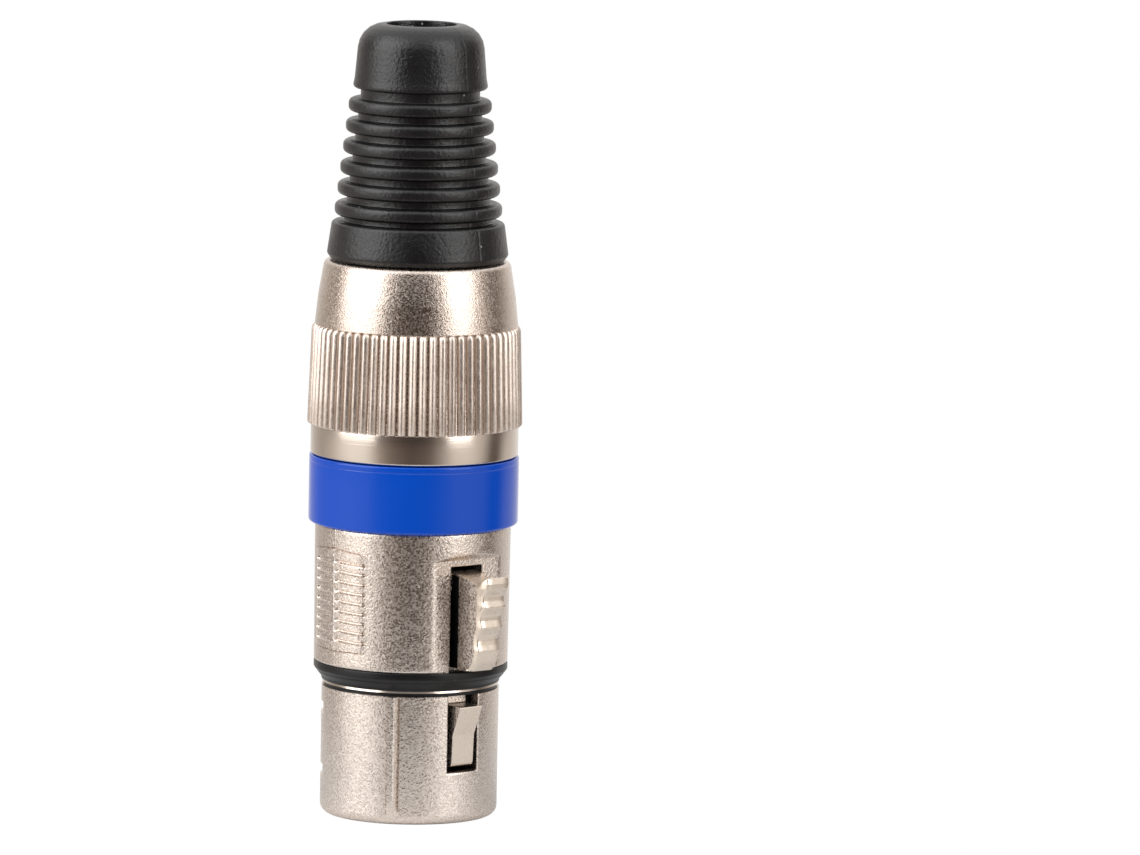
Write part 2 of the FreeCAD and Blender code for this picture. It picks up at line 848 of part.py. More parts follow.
def boot():
    flange_radius = boot_seat_radius - boot_flange_clearance
    waist_radius = nut_mouth_radius - boot_flange_clearance
    flange_top = boot_seat_top - boot_flange_clearance
    last_rib = first_rib + (boot_rib_count - 1) * boot_rib_pitch
    cap_foot = last_rib + boot_rib_thickness / 2 + boot_last_groove
    cap_top = cap_foot + boot_cap_height
    profile = [
        (boot_bore_radius, boot_foot),
        (flange_radius, boot_foot),
        (flange_radius, flange_top),
        (waist_radius, flange_top),
        (waist_radius, collar_foot),
        (boot_collar_foot_radius, collar_foot),
        (boot_collar_radius, collar_foot + boot_collar_undercut_height, boot_collar_round),
        (boot_collar_top_radius, collar_top, boot_collar_round),
        (boot_rib_radius - boot_groove_depth, collar_top),
    ]
    for i in range(boot_rib_count):
        profile += boot_rib(first_rib + i * boot_rib_pitch, boot_rib_radius - i * boot_rib_taper)
    profile += [
        (boot_neck_radius - boot_groove_depth, cap_foot, boot_rib_root_round),
        (boot_cap_radius, cap_foot, boot_cap_foot_round),
        (boot_cap_top_radius, cap_top, boot_cap_round),
        (boot_bore_radius, cap_top),
    ]
    return turned(profile)


os.makedirs("parts", exist_ok=True)
save("front_shell", front_shell())
save("nose_gasket", nose_gasket())
save("latch_lever", latch_lever())
save("latch_spring", latch_spring())
save("insert_front", insert_front())
save("insert_rear", insert_rear())
for number, (x, y) in enumerate(contact_places(), start=1):
    save("socket_contact_%d" % number, socket_contact(x, y))
save("ground_strip", ground_strip_shape())
save("coding_ring", coding_ring())
save("cable_chuck", cable_chuck())
save("back_nut", back_nut())
save("boot", boot())
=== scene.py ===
import bpy
import bmesh
import math
from mathutils import Vector, Matrix


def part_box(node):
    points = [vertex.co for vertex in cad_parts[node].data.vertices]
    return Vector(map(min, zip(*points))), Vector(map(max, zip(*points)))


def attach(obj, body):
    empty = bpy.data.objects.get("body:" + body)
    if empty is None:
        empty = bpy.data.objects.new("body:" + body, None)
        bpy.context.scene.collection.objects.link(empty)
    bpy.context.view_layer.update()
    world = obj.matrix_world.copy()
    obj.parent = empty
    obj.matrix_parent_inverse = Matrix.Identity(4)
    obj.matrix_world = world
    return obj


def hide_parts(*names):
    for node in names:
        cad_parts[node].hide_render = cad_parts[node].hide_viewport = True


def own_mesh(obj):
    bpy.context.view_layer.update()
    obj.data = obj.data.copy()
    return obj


# Socket-ended cable plug: satin nickel castings, a blue ring and a ribbed rubber boot, stood on its nose
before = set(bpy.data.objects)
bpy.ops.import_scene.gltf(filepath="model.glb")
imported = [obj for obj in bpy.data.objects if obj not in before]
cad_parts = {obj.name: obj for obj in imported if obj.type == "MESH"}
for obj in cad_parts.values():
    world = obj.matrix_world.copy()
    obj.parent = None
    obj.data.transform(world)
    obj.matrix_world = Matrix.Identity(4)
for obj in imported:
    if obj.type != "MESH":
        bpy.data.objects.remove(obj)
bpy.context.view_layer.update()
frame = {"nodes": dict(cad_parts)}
mm = 0.001
print("frame loaded:", len(frame["nodes"]), "solids")


def heights(node):
    # lowest and highest level of a CAD solid, in millimetres
    return [(corner / mm).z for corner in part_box(node)]


def pick(table, names):
    # several values of a dictionary, by their names
    return [table[name] for name in names.split()]


gasketFoot, bodyFront = heights("nose_gasket")
bodyRear, ringTop = heights("coding_ring")
nutFoot, nutTop = heights("back_nut")
bootFoot, bootTop = heights("boot")
neckTop = heights("front_shell")[1]
latchSide = -90.0        # the latch faces -Y, as a polar angle in degrees
hair = 0.01              # millimetres within which two levels or radii count as the same
white = (1.0, 1.0, 1.0, 1.0)


# Colours and nodes

def linear(hexColour):
    # sRGB hex to the linear values that Blender wants
    parts = [int(hexColour[i:i + 2], 16) / 255 for i in (1, 3, 5)]
    return tuple(c / 12.92 if c <= 0.04045 else ((c + 0.055) / 1.055) ** 2.4 for c in parts) + (1.0,)


def feed(tree, node, inputs):
    # an input is a value, a socket, or a node that stands for its first output
    for name, value in inputs.items():
        if isinstance(value, bpy.types.Node):
            value = value.outputs[0]
        if isinstance(value, bpy.types.NodeSocket):
            tree.links.new(value, node.inputs[name])
        else:
            node.inputs[name].default_value = value


def addNode(tree, kind, inputs=None, **settings):
    node = tree.nodes.new(kind)
    for name, value in settings.items():
        setattr(node, name, value)
    feed(tree, node, inputs or {})
    return node


def perMm(size):
    # texture scale at which one grain is this many millimetres across, in metres of object space
    return 1.0 / (size * mm)


def startMaterial(name, colour, values):
    # a Principled material with its whole-surface values, and the coordinates that its patterns read
    material = bpy.data.materials.new(name)
    material.use_nodes = True
    material.diffuse_color = linear(colour)
    tree = material.node_tree
    shader = tree.nodes["Principled BSDF"]
    feed(tree, shader, {"Base Color": linear(colour), **values})
    return material, tree, shader, addNode(tree, "ShaderNodeTexCoord").outputs["Object"]


bodyNickel = {
    "colour": "#E4DAD2", "dullColour": "#C9BDB3", "roughness": (0.19, 0.42),
    "grain": 0.17, "cell": 0.12, "pit": 0.28, "pitShare": 0.35, "bump": 0.7,
}
# the nut's blasted grains are finer than a pixel, so they are drawn as coarse as still shows
nutNickel = {
    "colour": "#E6DAD0", "dullColour": "#C2B2A6", "roughness": (0.16, 0.36),
    "grain": 0.12, "cell": 0.11, "pit": 0.14, "pitShare": 0.5, "bump": 0.42,
}
# the nut's ribs were rubbed in the blasting and are duller, which makes their highlights broad
ribNickel = {
    "colour": "#EADFD6", "dullColour": "#D2C4B8", "roughness": (0.34, 0.48),
    "grain": 0.14, "cell": 0.12, "pit": 0.14, "pitShare": 0.3, "bump": 0.25,
}
rubberLook = {
    "grain": 0.3, "skinHeight": 0.06, "cloud": 3.0, "cloudRange": (0.3, 0.7), "roughness": (0.3, 0.4),
    "speckSpacing": 2.6, "speckRadii": (0.035, 0.05), "speckShare": 0.75, "speckColour": "#A5A2A0",
}


def makeCastNickel(name, look):
    # Satin nickel over a bead-blasted zinc casting: a fine leathery skin whose grains sparkle in turn
    material, tree, shader, coords = startMaterial(name, look["colour"], {"Metallic": 1.0})
    smoothest, roughest = look["roughness"]
    peel = addNode(tree, "ShaderNodeTexNoise", {
        "Vector": coords, "Scale": perMm(look["grain"]), "Detail": 2.0, "Roughness": 0.55, "Distortion": 0.5})
    pits = addNode(tree, "ShaderNodeTexVoronoi", {"Vector": coords, "Scale": perMm(look["pit"])})
    grains = addNode(tree, "ShaderNodeTexVoronoi", {
        "Vector": coords, "Scale": perMm(look["cell"])}, feature="SMOOTH_F1")
    height = addNode(tree, "ShaderNodeMath", {
        0: pits, 1: look["pitShare"], 2: peel}, operation="MULTIPLY_ADD")
    bump = addNode(tree, "ShaderNodeBump", {
        "Height": height, "Strength": look["bump"], "Distance": 0.05 * mm})
    grainValue = addNode(tree, "ShaderNodeSeparateColor", {"Color": grains.outputs["Color"]})
    rough = addNode(tree, "ShaderNodeMapRange", {
        "Value": grainValue, "From Min": 0.2, "From Max": 0.8, "To Min": smoothest, "To Max": roughest})
    tint = addNode(tree, "ShaderNodeMix", {
        "Factor": grainValue, "A": linear(look["dullColour"]), "B": linear(look["colour"])}, data_type="RGBA")
    feed(tree, shader, {"Base Color": tint.outputs["Result"], "Roughness": rough, "Normal": bump})
    return material


def makeBlackRubber(name, colour, sheen, skinDepth):
    # Moulded black rubber: a grainy satin skin with a soft sheen and a few specks of pale dust
    look = rubberLook
    (near, far), (thin, dense), (smoothest, roughest) = pick(look, "speckRadii cloudRange roughness")
    material, tree, shader, coords = startMaterial(name, colour, {"Specular IOR Level": sheen})
    skin = addNode(tree, "ShaderNodeTexNoise", {"Vector": coords, "Scale": perMm(look["grain"]), "Detail": 3.0})
    cloud = addNode(tree, "ShaderNodeTexNoise", {"Vector": coords, "Scale": perMm(look["cloud"]), "Detail": 2.0})
    specks = addNode(tree, "ShaderNodeTexVoronoi", {"Vector": coords, "Scale": perMm(look["speckSpacing"])})
    dust = addNode(tree, "ShaderNodeMapRange", {
        "Value": specks, "From Min": near, "From Max": far, "To Min": look["speckShare"], "To Max": 0.0})
    tint = addNode(tree, "ShaderNodeMix", {
        "Factor": dust, "A": linear(colour), "B": linear(look["speckColour"])}, data_type="RGBA")
    rough = addNode(tree, "ShaderNodeMapRange", {
        "Value": cloud, "From Min": thin, "From Max": dense, "To Min": smoothest, "To Max": roughest})
    bump = addNode(tree, "ShaderNodeBump", {
        "Height": skin, "Strength": skinDepth, "Distance": look["skinHeight"] * mm})
    feed(tree, shader, {"Base Color": tint.outputs["Result"], "Roughness": rough, "Normal": bump})
    return material


def makeGrained(name, colour, grain, detail, roughness, relief, values):
    # one noise, with grains of this size in millimetres along X, Y and Z, varies the roughness between
    # two values and raises the skin: relief is a bump's strength and its height in millimetres
    material, tree, shader, coords = startMaterial(name, colour, values)
    scaled = addNode(tree, "ShaderNodeMapping", {"Vector": coords, "Scale": [perMm(size) for size in grain]})
    noise = addNode(tree, "ShaderNodeTexNoise", {"Vector": scaled, "Scale": 1.0, "Detail": detail})
    if roughness:
        feed(tree, shader, {"Roughness": addNode(tree, "ShaderNodeMapRange", {
            "Value": noise, "To Min": roughness[0], "To Max": roughness[1]})})
    if relief:
        feed(tree, shader, {"Normal": addNode(tree, "ShaderNodeBump", {
            "Height": noise, "Strength": relief[0], "Distance": relief[1] * mm})})
    return material


castMetal = makeCastNickel("Satin Nickel on Blasted Zinc", bodyNickel)
nutMetal = makeCastNickel("Satin Nickel on Finely Blasted Zinc", nutNickel)
ribMetal = makeCastNickel("Dull Nickel on Blasted Ribs", ribNickel)
metal = {"Metallic": 1.0}
# Nickel over a smooth die face: soft broad reflections with a faint grain, beige in the shade
smoothMetal = makeGrained(
    "Satin Nickel on Smooth Zinc", "#DACDBF", [0.5] * 3, 3.0, (0.2, 0.38), (0.08, 0.05), metal)
# Nickel over a lathe-turned band: fine rings round the axis that stretch the highlights up and down
turnedMetal = makeGrained(
    "Nickel on Turned Metal", "#D3C8BD", (9.0, 9.0, 0.11), 4.0, (0.13, 0.27), (0.22, 0.02), metal)
rubber = makeBlackRubber("Moulded Black Rubber", "#0E0D0F", 0.5, 0.9)
sealRubber = makeBlackRubber("Smooth Black Seal Rubber", "#0E0E0F", 0.3, 0.3)
# Moulded thermoplastics: an even colour, with the faint waviness of a moulded skin; the web's is dead matt
# and the ring's polished. The web's dead black is painted shade: it stands for the dark inside the slot behind the
# thumb piece
mouldedSkin = (0.1, 0.03)
insertPlastic = makeGrained("Moulded Black Nylon", "#1B1B1C", [0.5] * 3, 2.0, None, mouldedSkin, {
    "Roughness": 0.45})
slotShadeBlack = makeGrained("Painted Slot Shade Black", "#070606", [0.5] * 3, 2.0, None, mouldedSkin, {
    "Roughness": 0.75, "Specular IOR Level": 0.1})
chuckPlastic = makeGrained("Natural White Nylon", "#DAD6CC", [0.6] * 3, 2.0, None, mouldedSkin, {
    "Roughness": 0.42, "Subsurface Weight": 0.1})
ringPlastic = makeGrained("Blue Glossy ABS", "#0049BC", [5.0] * 3, 2.0, None, (0.03, 0.03), {
    "Roughness": 0.12, "Specular IOR Level": 0.35})
# Thin sheet or bar, plated or bare: even and fairly bright
contactMetal = makeGrained("Gold Flash on Bronze", "#D9B872", [0.4] * 3, 3.0, (0.21, 0.37), None, metal)
springMetal = makeGrained("Bare Spring Steel", "#9A9A9C", [0.4] * 3, 3.0, (0.27, 0.43), None, metal)
print("materials made")


# Meshes from outlines

def rounded(corners, steps=5, closed=True):
    # corners are (a, b) or (a, b, radius); a radius turns a corner into an arc of that many steps
    points = []
    count = len(corners)
    for i, corner in enumerate(corners):
        here = Vector(corner[:2])
        if len(corner) < 3 or (not closed and i in (0, count - 1)):
            points.append(here)
            continue
        toLast = (Vector(corners[i - 1][:2]) - here).normalized()
        toNext = (Vector(corners[(i + 1) % count][:2]) - here).normalized()
        half = toLast.angle(toNext) / 2
        centre = here + (toLast + toNext).normalized() * corner[2] / math.sin(half)
        start = here + toLast * corner[2] / math.tan(half) - centre
        sweep = start.angle_signed(here + toNext * corner[2] / math.tan(half) - centre)
        for k in range(steps + 1):
            points.append(centre + Matrix.Rotation(-sweep * k / steps, 2) @ start)
    return points


def addObject(name, data):
    item = bpy.data.objects.new(name, data)
    bpy.context.scene.collection.objects.link(item)
    return item


weldGap, shortEdge = 0.0005, 0.0002      # millimetres


def newObject(name, vertices, faces, material, sharpAngle=35):
    # vertices in millimetres; doubles are merged and the faces are turned outwards
    mesh = bpy.data.meshes.new(name)
    mesh.from_pydata([Vector(v) * mm for v in vertices], [], faces)
    work = bmesh.new()
    work.from_mesh(mesh)
    bmesh.ops.remove_doubles(work, verts=work.verts, dist=weldGap * mm)
    bmesh.ops.dissolve_degenerate(work, edges=work.edges, dist=shortEdge * mm)
    bmesh.ops.recalc_face_normals(work, faces=work.faces)
    work.to_mesh(mesh)
    work.free()
    mesh.shade_smooth()
    mesh.set_sharp_from_angle(angle=math.radians(sharpAngle))
    mesh.materials.append(material)
    return addObject(name, mesh)


def gridFaces(rows, columns, loopRows=True, loopColumns=True, isHole=None):
    # quads between neighbouring rows of vertices, apart from those that isHole leaves open
    faces = []
    for i in range(rows if loopRows else rows - 1):
        low, high = i * columns, (i + 1) % rows * columns
        for j in range(columns if loopColumns else columns - 1):
            k = (j + 1) % columns
            if not (isHole and isHole(i, j)):
                faces.append((low + j, low + k, high + k, high + j))
    return faces


def polar(radius, angle, level):
    turn = math.radians(angle)
    return Vector((radius * math.cos(turn), radius * math.sin(turn), level))


def evenAngles(count):
    return [360.0 * i / count for i in range(count)]


def turned(name, rows, material, angles=None, shift=lambda radius, level, angle: 0):
    # a closed outline of (radius, level) rows, turned about Z; shift tells how far a point moves outwards
    angles = angles or evenAngles(160)
    vertices = [polar(radius + shift(radius, level, a), a, level) for radius, level in rows for a in angles]
    return newObject(name, vertices, gridFaces(len(rows), len(angles)), material)


def applyModifiers(piece):
    # the evaluated mesh becomes the piece's own, and its modifiers go
    graph = bpy.context.evaluated_depsgraph_get()
    mesh = bpy.data.meshes.new_from_object(piece.evaluated_get(graph))
    piece.modifiers.clear()
    piece.data = mesh
    return piece


def place(piece, body, slot, *nodes):
    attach(piece, body)
    if nodes:
        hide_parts(*nodes)


# Front shell: nose, grip body and threaded neck in one casting

shell = {
    "noseRadius": 8.0, "noseBore": 7.0, "seatRadius": 7.75, "noseEdge": 0.8, "mouthChamfer": 0.2,
    "undercut": (11.65, 12.0, 0.3), "shoulderSteps": (0.12, 0.17),
    "bodyRadii": (8.74, 8.83), "bodyBore": 7.25, "shoulder": 13.2, "edgeRound": 0.22,
    "neckRadius": 7.9, "neckChamfer": 0.4, "threadPitch": 1.0, "threadDepth": 0.42,
    "windowHalf": 1.69, "windowSill": 4.7, "slotHalf": 1.735, "slotEnd": 23.4,
    "rimRound": 0.14, "rimSteps": (0, 0.02, 0.05, 0.09, 0.14),
    "flatDepth": 8.0, "flatEnd": 24.0, "flatSlope": 1.45, "flatSoft": 0.05, "flatReach": 60,
    "keyAngle": -139.0, "keyHeight": 0.45, "keySpan": (0.6, 11.85), "keyRunout": 1.6,
    "keyOutline": [(-0.5, 0.0), (-0.44, -0.2), (-0.34, 0.88), (-0.28, 1.0), (0.06, 1.0), (0.14, 0.97),
                   (0.21, 0.88), (0.26, 0.76), (0.58, -0.36), (0.7, 0.0)],
    "notchAngle": 141.3, "notchHalf": 14.0, "notchLevels": (3.95, 9.65), "notchDepth": 0.2, "notchHeight": 1.0,
    "padHalf": 24.8, "padMiddle": 20.05, "padHalfHeight": 4.65, "padRelief": 0.12, "padEdge": 0.06,
    "padEnd": (-1.0, 7.5), "padLine": 0.1, "lineRunout": 1.5,
    "padSag": (0.34, 0.16, -0.1), "sagRises": (3.8, 4.5, 4.8, 6.0), "sagFade": (2, 14),
    "grooveCount": 9, "groovePitch": 0.887, "grooveWidth": 0.4, "grooveDepth": 0.24, "grooveFloor": 0.05,
    "grooveSpan": (2.0, 23.3), "grooveFades": (1.3, 0.5), "groovePit": 0.9, "pitSpan": (1.8, 1.4),
    "farGroove": 1.6, "seamHeight": 0.05, "seamHalf": 0.35,
}


def turnFrom(angle, middle):
    # angle away from the middle, -180 to 180
    return (angle - middle + 180) % 360 - 180


def fromLatch(angle):
    return turnFrom(angle, latchSide)


def ramp(value, low, high):
    # smooth step from 0 at low to 1 at high
    t = min(max((value - low) / (high - low), 0), 1)
    return t * t * (3 - 2 * t)


def padAcross(angle):
    # angle away from the mould's parting line on the nearer flank
    return min(abs(fromLatch(angle) - 90), abs(fromLatch(angle) + 90))


def rowLevel(level, angle):
    # rows of the mesh sag towards the pads' ends, so that the pads' edges and grooves lie along them
    across = padAcross(angle)
    near, far = (shell["padHalf"] + reach for reach in shell["sagFade"])
    if not bodyFront + 0.3 < level < bodyRear - 0.3 or across > far:
        return level
    share = min(across / shell["padHalf"], 1) * (1 - ramp(across, near, far))
    rise = level - shell["padMiddle"]
    top, middle, bottom = shell["padSag"]
    bend, full, fall, gone = shell["sagRises"]
    sag = middle + ((top if rise > 0 else bottom) - middle) * ramp(abs(rise), bend, full)
    return level - sag * share * (1 - ramp(abs(rise), fall, gone))


def padShift(level, angle):
    # raised grip pads on both flanks, with short grooves either side of the mould's parting line
    half, halfHeight, edge, pitch, width = pick(shell, "padHalf padHalfHeight padEdge groovePitch grooveWidth")
    across = padAcross(angle)
    if across > half + 1:
        return 0
    rise = level - shell["padMiddle"]
    inside = min(ramp(halfHeight - abs(rise), -edge, edge), ramp(half - across, *shell["padEnd"]))
    shift = shell["padRelief"] * inside
    if abs(abs(rise) - halfHeight) < 0.05:
        shift -= shell["padLine"] * ramp(half - across, 0, shell["lineRunout"])
    line = rise / pitch
    nearest = round(line)
    if abs(nearest) > (shell["grooveCount"] - 1) / 2:
        return shift
    off = abs(line - nearest) * pitch
    (low, high), (inner, outer), (before, length) = pick(shell, "grooveSpan grooveFades pitSpan")
    along = min(ramp(across, low - inner, low + inner), ramp(high - across, -outer, outer))
    pit = 1 + shell["groovePit"] * ramp(across - high + before, 0, length)
    if abs(fromLatch(angle)) > 90:
        # the half further from the latch was finished more softly: broader grooves without a pit at the end
        pit, width = 1, width * shell["farGroove"]
    return shift - shell["grooveDepth"] * pit * along * (1 - ramp(off, shell["grooveFloor"], width / 2))


def keyShift(level, angle):
    # the key rib has a flat crest, a steep wall on its left and a rounded shoulder and a wall on its right
    off = math.radians(turnFrom(angle, shell["keyAngle"])) * shell["noseRadius"]
    low, high = shell["keySpan"]
    if not low - hair < level < high + hair:
        return 0
    side = 0
    for (a, heightA), (b, heightB) in zip(shell["keyOutline"], shell["keyOutline"][1:]):
        if a <= off <= b:
            side = heightA + (heightB - heightA) * (off - a) / (b - a)
    start = ramp(level, low, low + shell["keyRunout"])
    return shell["keyHeight"] * side * math.sqrt(start) * ramp(high - level, 0, 0.1)


def rimShift(level, angle):
    # the casting's edges are rounded where they meet the slot and the window
    soft = shell["rimRound"]
    off = math.radians(abs(fromLatch(angle))) * shell["noseRadius"] - shell["windowHalf"]
    if level > bodyFront - hair:
        away = max(off, level - shell["slotEnd"])
    elif level < gasketFoot + hair:
        away = max(off, shell["windowSill"] - level)
    else:
        return 0
    if away <= -hair or away > soft:
        return 0
    return -(soft - math.sqrt(max(soft ** 2 - (soft - max(away, 0)) ** 2, 0)))


def threadShift(level, angle):
    if level < ringTop - 0.6 or level > neckTop - 0.3:
        return 0
    turn = (level / shell["threadPitch"] - angle / 360) % 1
    return -shell["threadDepth"] * (1 - abs(turn * 2 - 1))


def noseShift(radius, level, angle):
    if radius <= shell["noseRadius"] - hair:
        return 0
    shift = keyShift(level, angle)
    if abs(turnFrom(angle, shell["notchAngle"])) < shell["notchHalf"]:
        if any(abs(level - notch) < shell["notchHeight"] / 2 for notch in shell["notchLevels"]):
            shift -= shell["notchDepth"]
    return shift


def bodyShift(radius, level, angle):
    # grip pads, the mould's parting line, and the flat round the latch
    shift = padShift(level, angle)
    away = abs(fromLatch(angle))
    shift += shell["seamHeight"] * (1 - ramp(abs(away - 90), 0, shell["seamHalf"]))
    if away < shell["flatReach"]:
        depth = shell["flatDepth"] + max(level - shell["flatEnd"], 0) * shell["flatSlope"]
        flat = depth / math.cos(math.radians(away)) - radius
        soft = shell["flatSoft"]
        if abs(flat) < 2:
            shift = -soft * math.log(math.exp(-flat / soft) + math.exp(-shift / soft))
    return shift


def shellShift(radius, level, angle):
    if radius < shell["seatRadius"] + hair:
        return 0
    if radius < shell["neckRadius"] + hair and level > bodyRear:
        return threadShift(level, angle)
    if level < gasketFoot + hair:
        return noseShift(radius, level, angle) + rimShift(level, angle)
    if radius < shell["bodyRadii"][0] - shell["edgeRound"] - 0.02:
        return 0
    return bodyShift(radius, level, angle) + rimShift(level, angle)


def span(low, high, step):
    count = max(1, round((high - low) / step))
    return [low + (high - low) * i / count for i in range(count + 1)]


def without(turns, middle, reach):
    # the columns near this one go, to make way for finer ones
    return [t for t in turns if abs(t - middle) > reach]


def shellAngles():
    # columns round the shell: dense at the latch, the ends of the pads' grooves, the key rib and the notches
    nose = shell["noseRadius"]
    edge = math.degrees(math.asin(shell["windowHalf"] / nose))
    turns = without(span(-180, 180, 3)[:-1], 0, 36) + span(-36, 36, 0.9)
    low, high = shell["grooveSpan"]
    half = span(0, low - 0.8, 0.4) + span(low - 0.5, low + 1.9, 0.3) + span(low + 2.7, high - 2.6, 1.0)
    half += span(high - 1.9, high + 0.6, 0.3) + span(high + 0.9, shell["padHalf"] + 0.8, 0.35) + [26.4, 27.2]
    for side in (-1, 1):
        turns = without(turns, side * edge, 0.5)
        turns += [side * (edge + math.degrees(r / nose)) for r in shell["rimSteps"] + (0.2,)]
        turns = without(turns, side * 90, 27)
        turns += [side * 90 + t for t in half] + [side * 90 - t for t in half[1:]]
    key = fromLatch(shell["keyAngle"])
    bends = [math.degrees(off / nose) for off, _ in shell["keyOutline"]]
    turns = without(turns, key, 6)
    turns += [key + t for t in span(-6, bends[0] - 0.15, 0.8) + bends + span(bends[-1] + 0.15, 6, 0.8)]
    for side in (-1, 1):
        notchEnd = fromLatch(shell["notchAngle"]) + side * shell["notchHalf"]
        turns = without(turns, notchEnd, 0.6) + [notchEnd - 0.15, notchEnd + 0.15]
    turns = sorted(turns)
    kept = [turns[0]]
    for turn in turns[1:]:
        if turn - kept[-1] > 0.05:
            kept.append(turn)
    return [t + latchSide for t in kept], edge


def noseRows():
    # the front ring, and rows up the nose that are dense at the key's run-out, the notches and the window's sill
    nose, sill, rim, seat = pick(shell, "noseRadius windowSill rimSteps seatRadius")
    (cutLow, cutHigh, cutDepth), (near, far) = pick(shell, "undercut shoulderSteps")
    rows = rounded([(shell["noseBore"] + shell["mouthChamfer"], 0), (nose, 0, shell["noseEdge"]), (nose, cutLow)],
                   closed=False)
    rows = [tuple(p) for p in rows[:-1]]
    levels = span(0.6, cutLow - 0.1, 0.5) + span(0.6, 2.3, 0.17) + span(11.4, cutLow - 0.02, 0.1)
    levels += [notch + side * shell["notchHeight"] / 2 + off
               for notch in shell["notchLevels"] for side in (-1, 1) for off in (-0.04, 0.04)]
    levels += [sill - r for r in rim]
    levels = sorted(set(round(v, 4) for v in levels if abs(v - sill) < 1e-6 or not sill - 0.13 < v < sill + 0.2
                        or v in [round(sill - r, 4) for r in rim[1:4]]))
    rows += [(nose, v) for v in levels if v > rows[-1][1] + 0.02]
    return rows + [
        (nose, cutLow), (nose - cutDepth, cutLow), (nose - cutDepth, cutHigh), (nose - near, cutHigh),
        (nose - far, gasketFoot), (seat, gasketFoot), (seat, bodyFront),
    ]


def bodyRows():
    # rows up the grip body that are dense at the pads' edges, their grooves, the slot's end and the flat's end
    seat, soft, neck, (front, rear) = pick(shell, "seatRadius edgeRound neckRadius bodyRadii")
    corner = rounded([(seat, bodyFront), (front, bodyFront, soft), (rear, bodyRear, soft), (neck, bodyRear)],
                     closed=False)
    lower, upper = corner[1:7], corner[7:13]
    low, high = lower[-1].y, upper[0].y
    middle, half, flatEnd, count, pitch = pick(shell, "padMiddle padHalfHeight flatEnd grooveCount groovePitch")
    levels = span(low, high, 0.3)
    for side in (-1, 1):
        levels += [middle + side * (half + r) for r in (-0.12, -0.07, -0.03, 0, 0.03, 0.07, 0.12)]
    for i in range(count):
        groove = middle + (i - (count - 1) / 2) * pitch
        levels += [groove + side * r for side in (-1, 1) for r in (0.03, 0.09, 0.14, 0.2, 0.26, 0.33)]
    levels += span(flatEnd - 0.1, flatEnd + 1.4, 0.08)
    fixed = [low, high] + [shell["slotEnd"] + r for r in shell["rimSteps"]]
    levels = sorted(fixed + [v for v in levels if min(abs(v - f) for f in fixed) > 0.018])
    levels = [v for i, v in enumerate(levels) if i == 0 or v - levels[i - 1] > 0.012]
    rows = [tuple(p) for p in lower[:-1]]
    rows += [(front + (rear - front) * (v - bodyFront) / (bodyRear - bodyFront), v) for v in levels]
    rows += [tuple(p) for p in upper[1:]] + [(neck, bodyRear)]
    rows += [(neck, v) for v in span(ringTop - 0.7, neckTop - 0.4, 0.14)]
    return rows + [(neck - shell["neckChamfer"], neckTop)]


def shellInnerRows():
    bore, noseBore, shoulder = pick(shell, "bodyBore noseBore shoulder")
    return [(bore, level) for level in (neckTop, shell["slotEnd"], bodyFront, shoulder)] + [
        (noseBore, level) for level in (shoulder, gasketFoot, shell["windowSill"], shell["mouthChamfer"])]


def buildShell():
    angles, edge = shellAngles()
    outer, inner = noseRows() + bodyRows(), shellInnerRows()
    rows, wide, sill = outer + inner, len(angles), shell["windowSill"]
    # the window and the slot: lower end, upper end and the radius of the bore behind
    holes = [(sill, gasketFoot, shell["noseBore"]), (bodyFront, shell["slotEnd"], shell["bodyBore"])]

    def innerAngle(angle, radius, level):
        # columns of the bore bend in beside a hole, so that the hole's walls are parallel
        turn = fromLatch(angle)
        half = shell["slotHalf"] if level > shell["shoulder"] - hair else shell["windowHalf"]
        want = math.degrees(math.asin(half / radius)) - edge
        fade = abs(turn) / edge if abs(turn) < edge else max(0, 1 - (abs(turn) - edge) / 30)
        return angle + math.copysign(want * fade, turn)

    def isOpen(i, j):
        after = angles[j + 1] if j + 1 < wide else angles[0] + 360
        if abs(fromLatch((angles[j] + after) / 2)) > edge:
            return False
        low, high = sorted((rows[i][1], rows[(i + 1) % len(rows)][1]))
        for bottom, top, _ in holes:
            if low > bottom - hair and high < top + hair:
                onTop = abs(low - top) < hair and top > bodyFront
                if high - low >= hair or not (onTop or abs(low - sill) < hair):
                    return True
        return False

    vertices = [polar(radius + shellShift(radius, level, a), a, rowLevel(level, a))
                for radius, level in outer for a in angles]
    vertices += [polar(radius, innerAngle(a, radius, level), level) for radius, level in inner for a in angles]
    faces = gridFaces(len(rows), wide, isHole=isOpen)
    left, right = (min(range(wide), key=lambda j: abs(fromLatch(angles[j]) - side * edge)) for side in (-1, 1))
    for bottom, top, bore in holes:
        inside = [i for i, (radius, level) in enumerate(outer)
                  if bottom - hair < level < top + hair and radius > shell["seatRadius"] - hair]

        def addWall(spots):
            # from an edge of the hole, given as rows and columns, straight in to the bore
            backs = range(len(vertices), len(vertices) + len(spots))
            vertices.extend(polar(bore, innerAngle(angles[j], bore, outer[i][1]), outer[i][1]) for i, j in spots)
            fronts = [i * wide + j for i, j in spots]
            faces.extend((a, b, q, p) for a, b, p, q in zip(fronts, fronts[1:], backs, backs[1:]))

        for j in (left, right):
            addWall([(i, j) for i in inside])
        for i in (inside[0], inside[-1]):
            addWall([(i, j) for j in range(left, right + 1)])
    piece = newObject("shellCasting", vertices, faces, castMetal, 40)
    place(piece, "housing", "nickel_shell", "front_shell")
    print("shell: %d faces" % len(piece.data.polygons))


# Rubber gasket with a lip, on its seat behind the nose

gasket = {"seatRadius": 7.77, "rootRadius": 8.03, "lipRadius": 8.75, "lipHeight": 0.8, "stepLine": 0.07,
          "shadeRingStand": 0.1}


